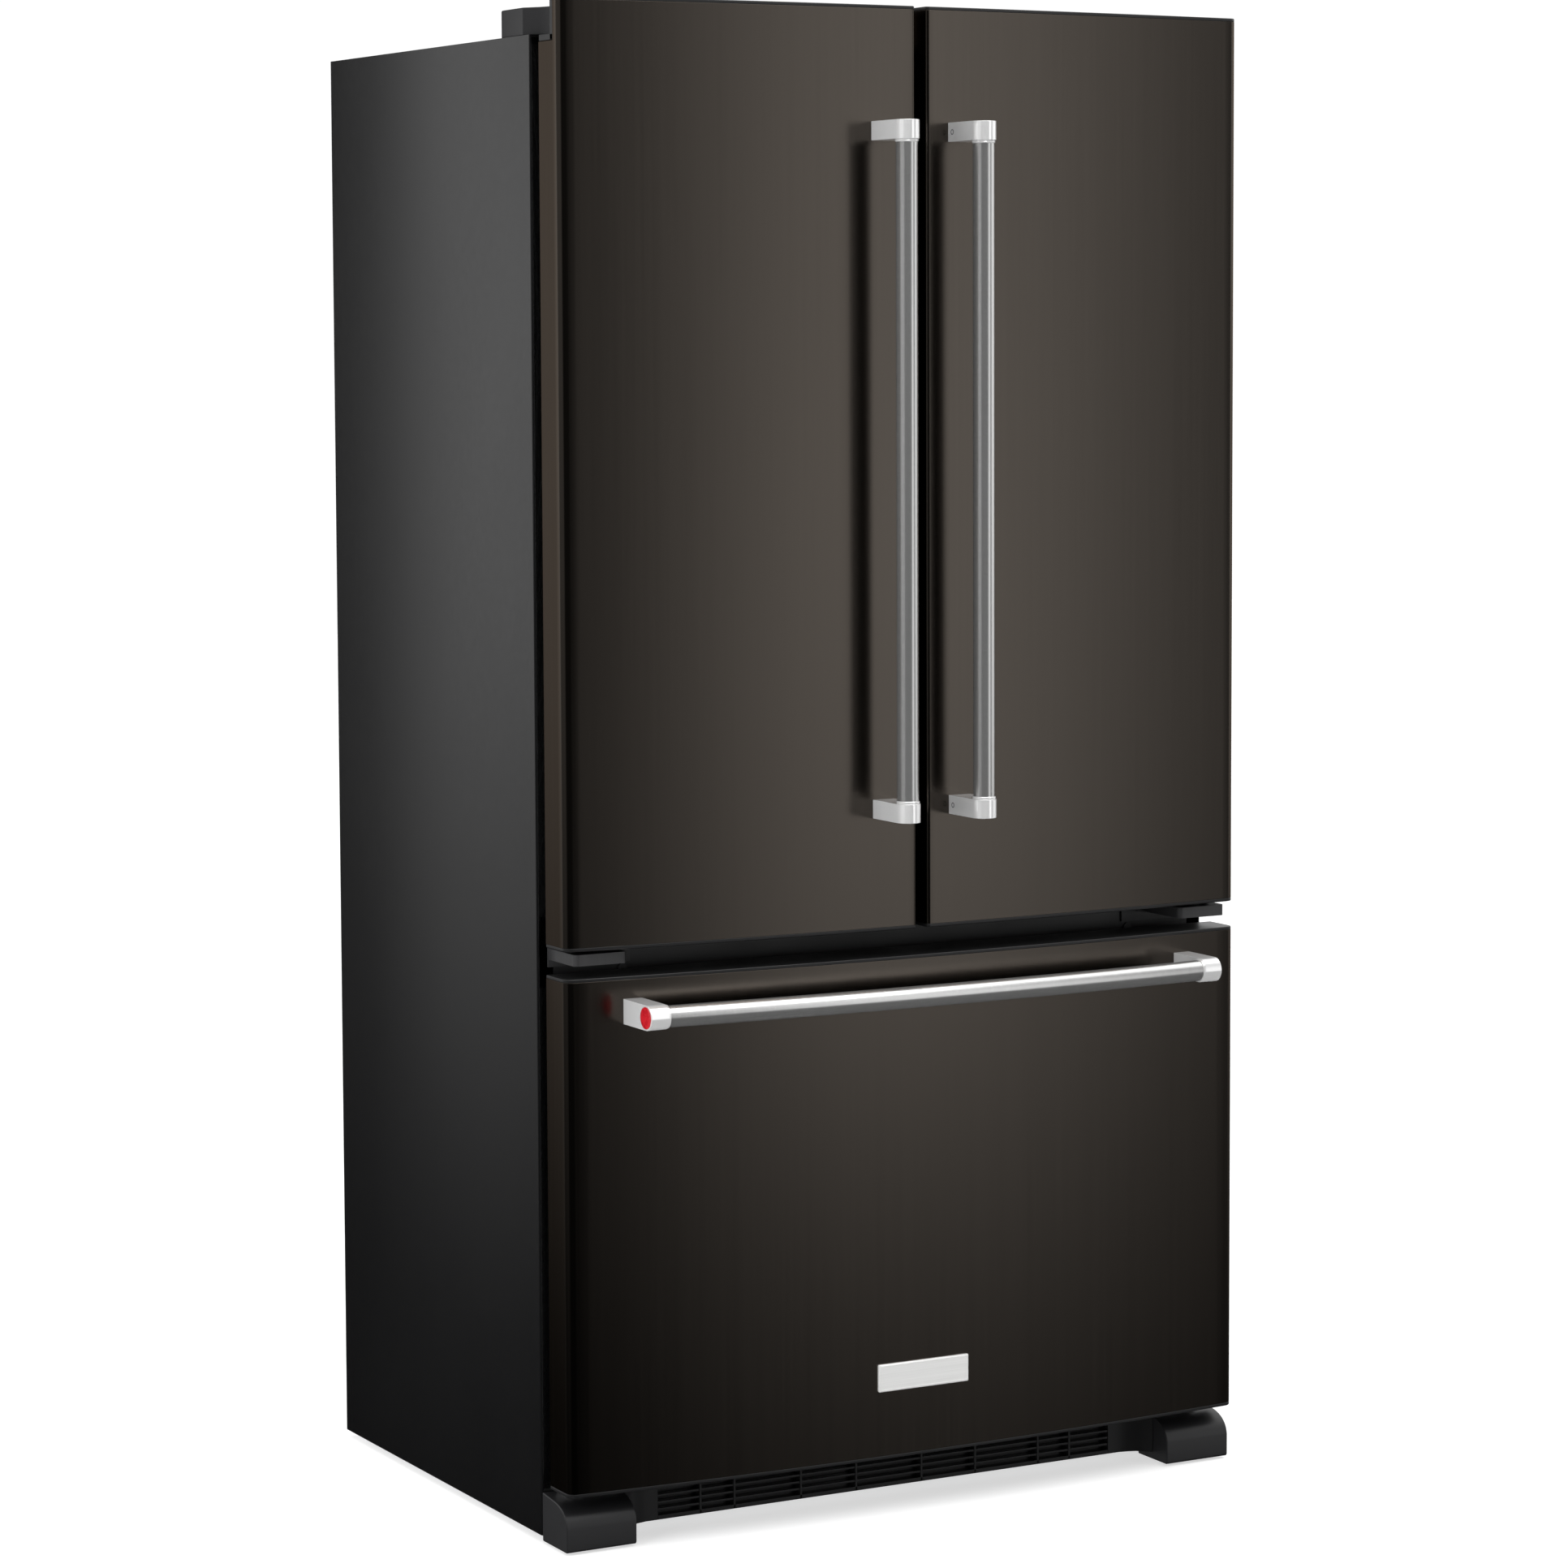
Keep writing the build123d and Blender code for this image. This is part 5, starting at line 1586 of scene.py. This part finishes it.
@dataclass(frozen=True)
class Surroundings:
    """Soft light from all round, by heading in degrees from straight ahead and by height.

    A tall lobe stands to the front right, panels on both sides and at the rear, and a ceiling above.
    All but the ceiling fade out towards the floor.
    """

    lobe_heading: float = 29.5
    lobe_spread: float = 12.5
    lobe_start: Span = (11.0, 26.5)
    lobe_strength: float = 1.12
    dim: float = 0.035
    side_start: Span = (52.0, 66.0)
    side_end: Span = (152.0, 162.0)
    left_share: float = 0.3
    right_start: Span = (-0.2, 0.1)
    rear_start: Span = (118.0, 128.0)
    rear_end: Span = (150.5, 163.0)
    front_rise: Span = (-0.258, -0.098)
    back_rise: Span = (-0.26, 0.0)
    ceiling_rise: Span = (0.45, 0.9)
    ceiling_strength: float = 0.8
    backdrop: float = 1.05

    def build(self) -> None:
        """Add up the lights; the camera itself sees at least the white backdrop."""
        tree = WorldTree()
        turn = tree.math("ARCTAN2", tree.x, tree.math("MULTIPLY", tree.y, -1.0))
        heading = tree.math("MULTIPLY", turn, 180 / math.pi)
        strength = tree.math("MAXIMUM", self.front(tree, heading), self.back(tree, heading))
        above = tree.math("MULTIPLY", tree.rise(tree.z, self.ceiling_rise), self.ceiling_strength)
        seen = tree.nodes.new("ShaderNodeLightPath").outputs["Is Camera Ray"]
        backdrop = tree.math("MULTIPLY", seen, self.backdrop)
        strength = tree.math("MAXIMUM", tree.math("ADD", strength, above), backdrop)
        tree.links.new(strength, tree.background.inputs["Strength"])
        tree.background.inputs["Color"].default_value = (1.0, 1.0, 1.0, 1.0)

    def front(self, tree: WorldTree, heading: Socket) -> Socket:
        """Light from ahead: a bell curve about the lobe's heading over an even dim light."""
        away = tree.math("DIVIDE", tree.math("SUBTRACT", heading, self.lobe_heading), self.lobe_spread)
        bell = tree.math("EXPONENT", tree.math("MULTIPLY", tree.math("MULTIPLY", away, away), -1.0))
        lobe = tree.math("MULTIPLY", bell, tree.rise(heading, self.lobe_start))
        lit = tree.math("ADD", tree.math("MULTIPLY", lobe, self.lobe_strength), self.dim)
        return tree.math("MULTIPLY", lit, tree.rise(tree.z, self.front_rise))

    def back(self, tree: WorldTree, heading: Socket) -> Socket:
        """Light from the sides, weaker on the left, and from the rear."""
        side = tree.math("ABSOLUTE", heading)
        panel = tree.math("MULTIPLY", tree.rise(side, self.side_start), tree.fall(side, self.side_end))
        right = tree.math("MULTIPLY", tree.rise(tree.x, self.right_start), 1.0 - self.left_share)
        panel = tree.math("MULTIPLY", panel, tree.math("ADD", right, self.left_share))
        rear = tree.math("MULTIPLY", tree.rise(side, self.rear_start), tree.fall(side, self.rear_end))
        return tree.math("MULTIPLY", tree.math("MAXIMUM", panel, rear), tree.rise(tree.z, self.back_rise))


@dataclass(frozen=True)
class Softbox:
    """Rectangular soft light: its place, its tilt and turn in degrees, and its power."""

    name: str
    place: tuple[float, float, float]
    tilt: float
    turn: float
    power: float
    mirrored: bool
    size: Span = (3.2, 2.4)

    def build(self) -> None:
        """Make the light, unseen by the camera."""
        data = bpy.data.lights.new(self.name, "AREA")
        data.shape, data.energy = "RECTANGLE", self.power
        data.size, data.size_y = self.size
        made = bpy.data.objects.new(self.name, data)
        turn = Matrix.Rotation(math.radians(self.turn), 4, "Z")
        tilt = Matrix.Rotation(math.radians(self.tilt), 4, "X")
        made.matrix_world = Matrix.Translation(self.place) @ turn @ tilt
        made.visible_camera = False
        made.visible_glossy = self.mirrored
        bpy.context.scene.collection.objects.link(made)


@dataclass(frozen=True)
class StudioFloor:
    """Plain white floor that holds a soft shadow."""

    reach: float = 14.0
    tone: float = 0.6
    glow: float = 0.6

    def build(self) -> None:
        """Make the floor, which polished pieces don't mirror."""
        reach = self.reach
        points = np.array([(-reach, -reach, 0), (reach, -reach, 0), (reach, reach, 0), (-reach, reach, 0)])
        made = make_object("studio_floor", points, [(0, 1, 2, 3)], outward=False)
        graph = ShaderGraph("floor_paint")
        cloud = graph.noise((0.6, 0.6, 0.6), 2.0)
        graph.set(
            Base_Color=graph.mixed(graph.between(cloud, 0.0, 1.0), (self.tone,) * 3, (self.tone + 0.02,) * 3),
            Roughness=0.9,
            Emission_Color=(1.0, 1.0, 1.0),
            Emission_Strength=self.glow,
        )
        made.data.materials.append(graph.material)
        made.visible_glossy = False
        made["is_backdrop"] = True


# ---------------------------------------------------------------------------- main


def main() -> None:
    """Build every piece in order, then the studio."""
    logging.basicConfig(level=logging.INFO, format="%(message)s")
    model = Model()
    front = FrontShape.from_frame()
    outer_edge, free_edge = 11 * MM, 4 * MM
    for panel in (
        Panel("left_door", "left_door", -1, (outer_edge, free_edge), Notch()),
        Panel("right_door", "right_door", 1, (free_edge, outer_edge), Notch()),
        Panel("drawer", "freezer_drawer", 0, (outer_edge, outer_edge)),
    ):
        PanelShell(model, front, panel).build()
    for side, sign in (("left", -1), ("right", 1)):
        BarHandle(model, front, side, sign).build()
    DrawerHandle(model, front).build()
    CabinetCase(model, front).build()
    Hinges(model, front).build()
    Plinth(model, front).build()
    Compartments(model, front).build()
    Shelving(model, front).build()
    Storage(model).build()
    for side, sign in (("left", -1), ("right", 1)):
        InnerPanel(model, front, side, sign).build()
    DrawerInner(model, front).build()
    bpy.context.scene.view_settings.view_transform = "Standard"
    for part in (
        StudioCamera(),
        StudioFloor(),
        Surroundings(),
        Softbox("Overhead softbox", (0.2, -1.6, 3.6), 24.0, 0.0, 45.0, True),
        Softbox("Left fill", (-4.0, -1.0, 1.5), 90.0, -75.0, 110.0, False),
    ):
        part.build()


if __name__ == "__main__":
    main()
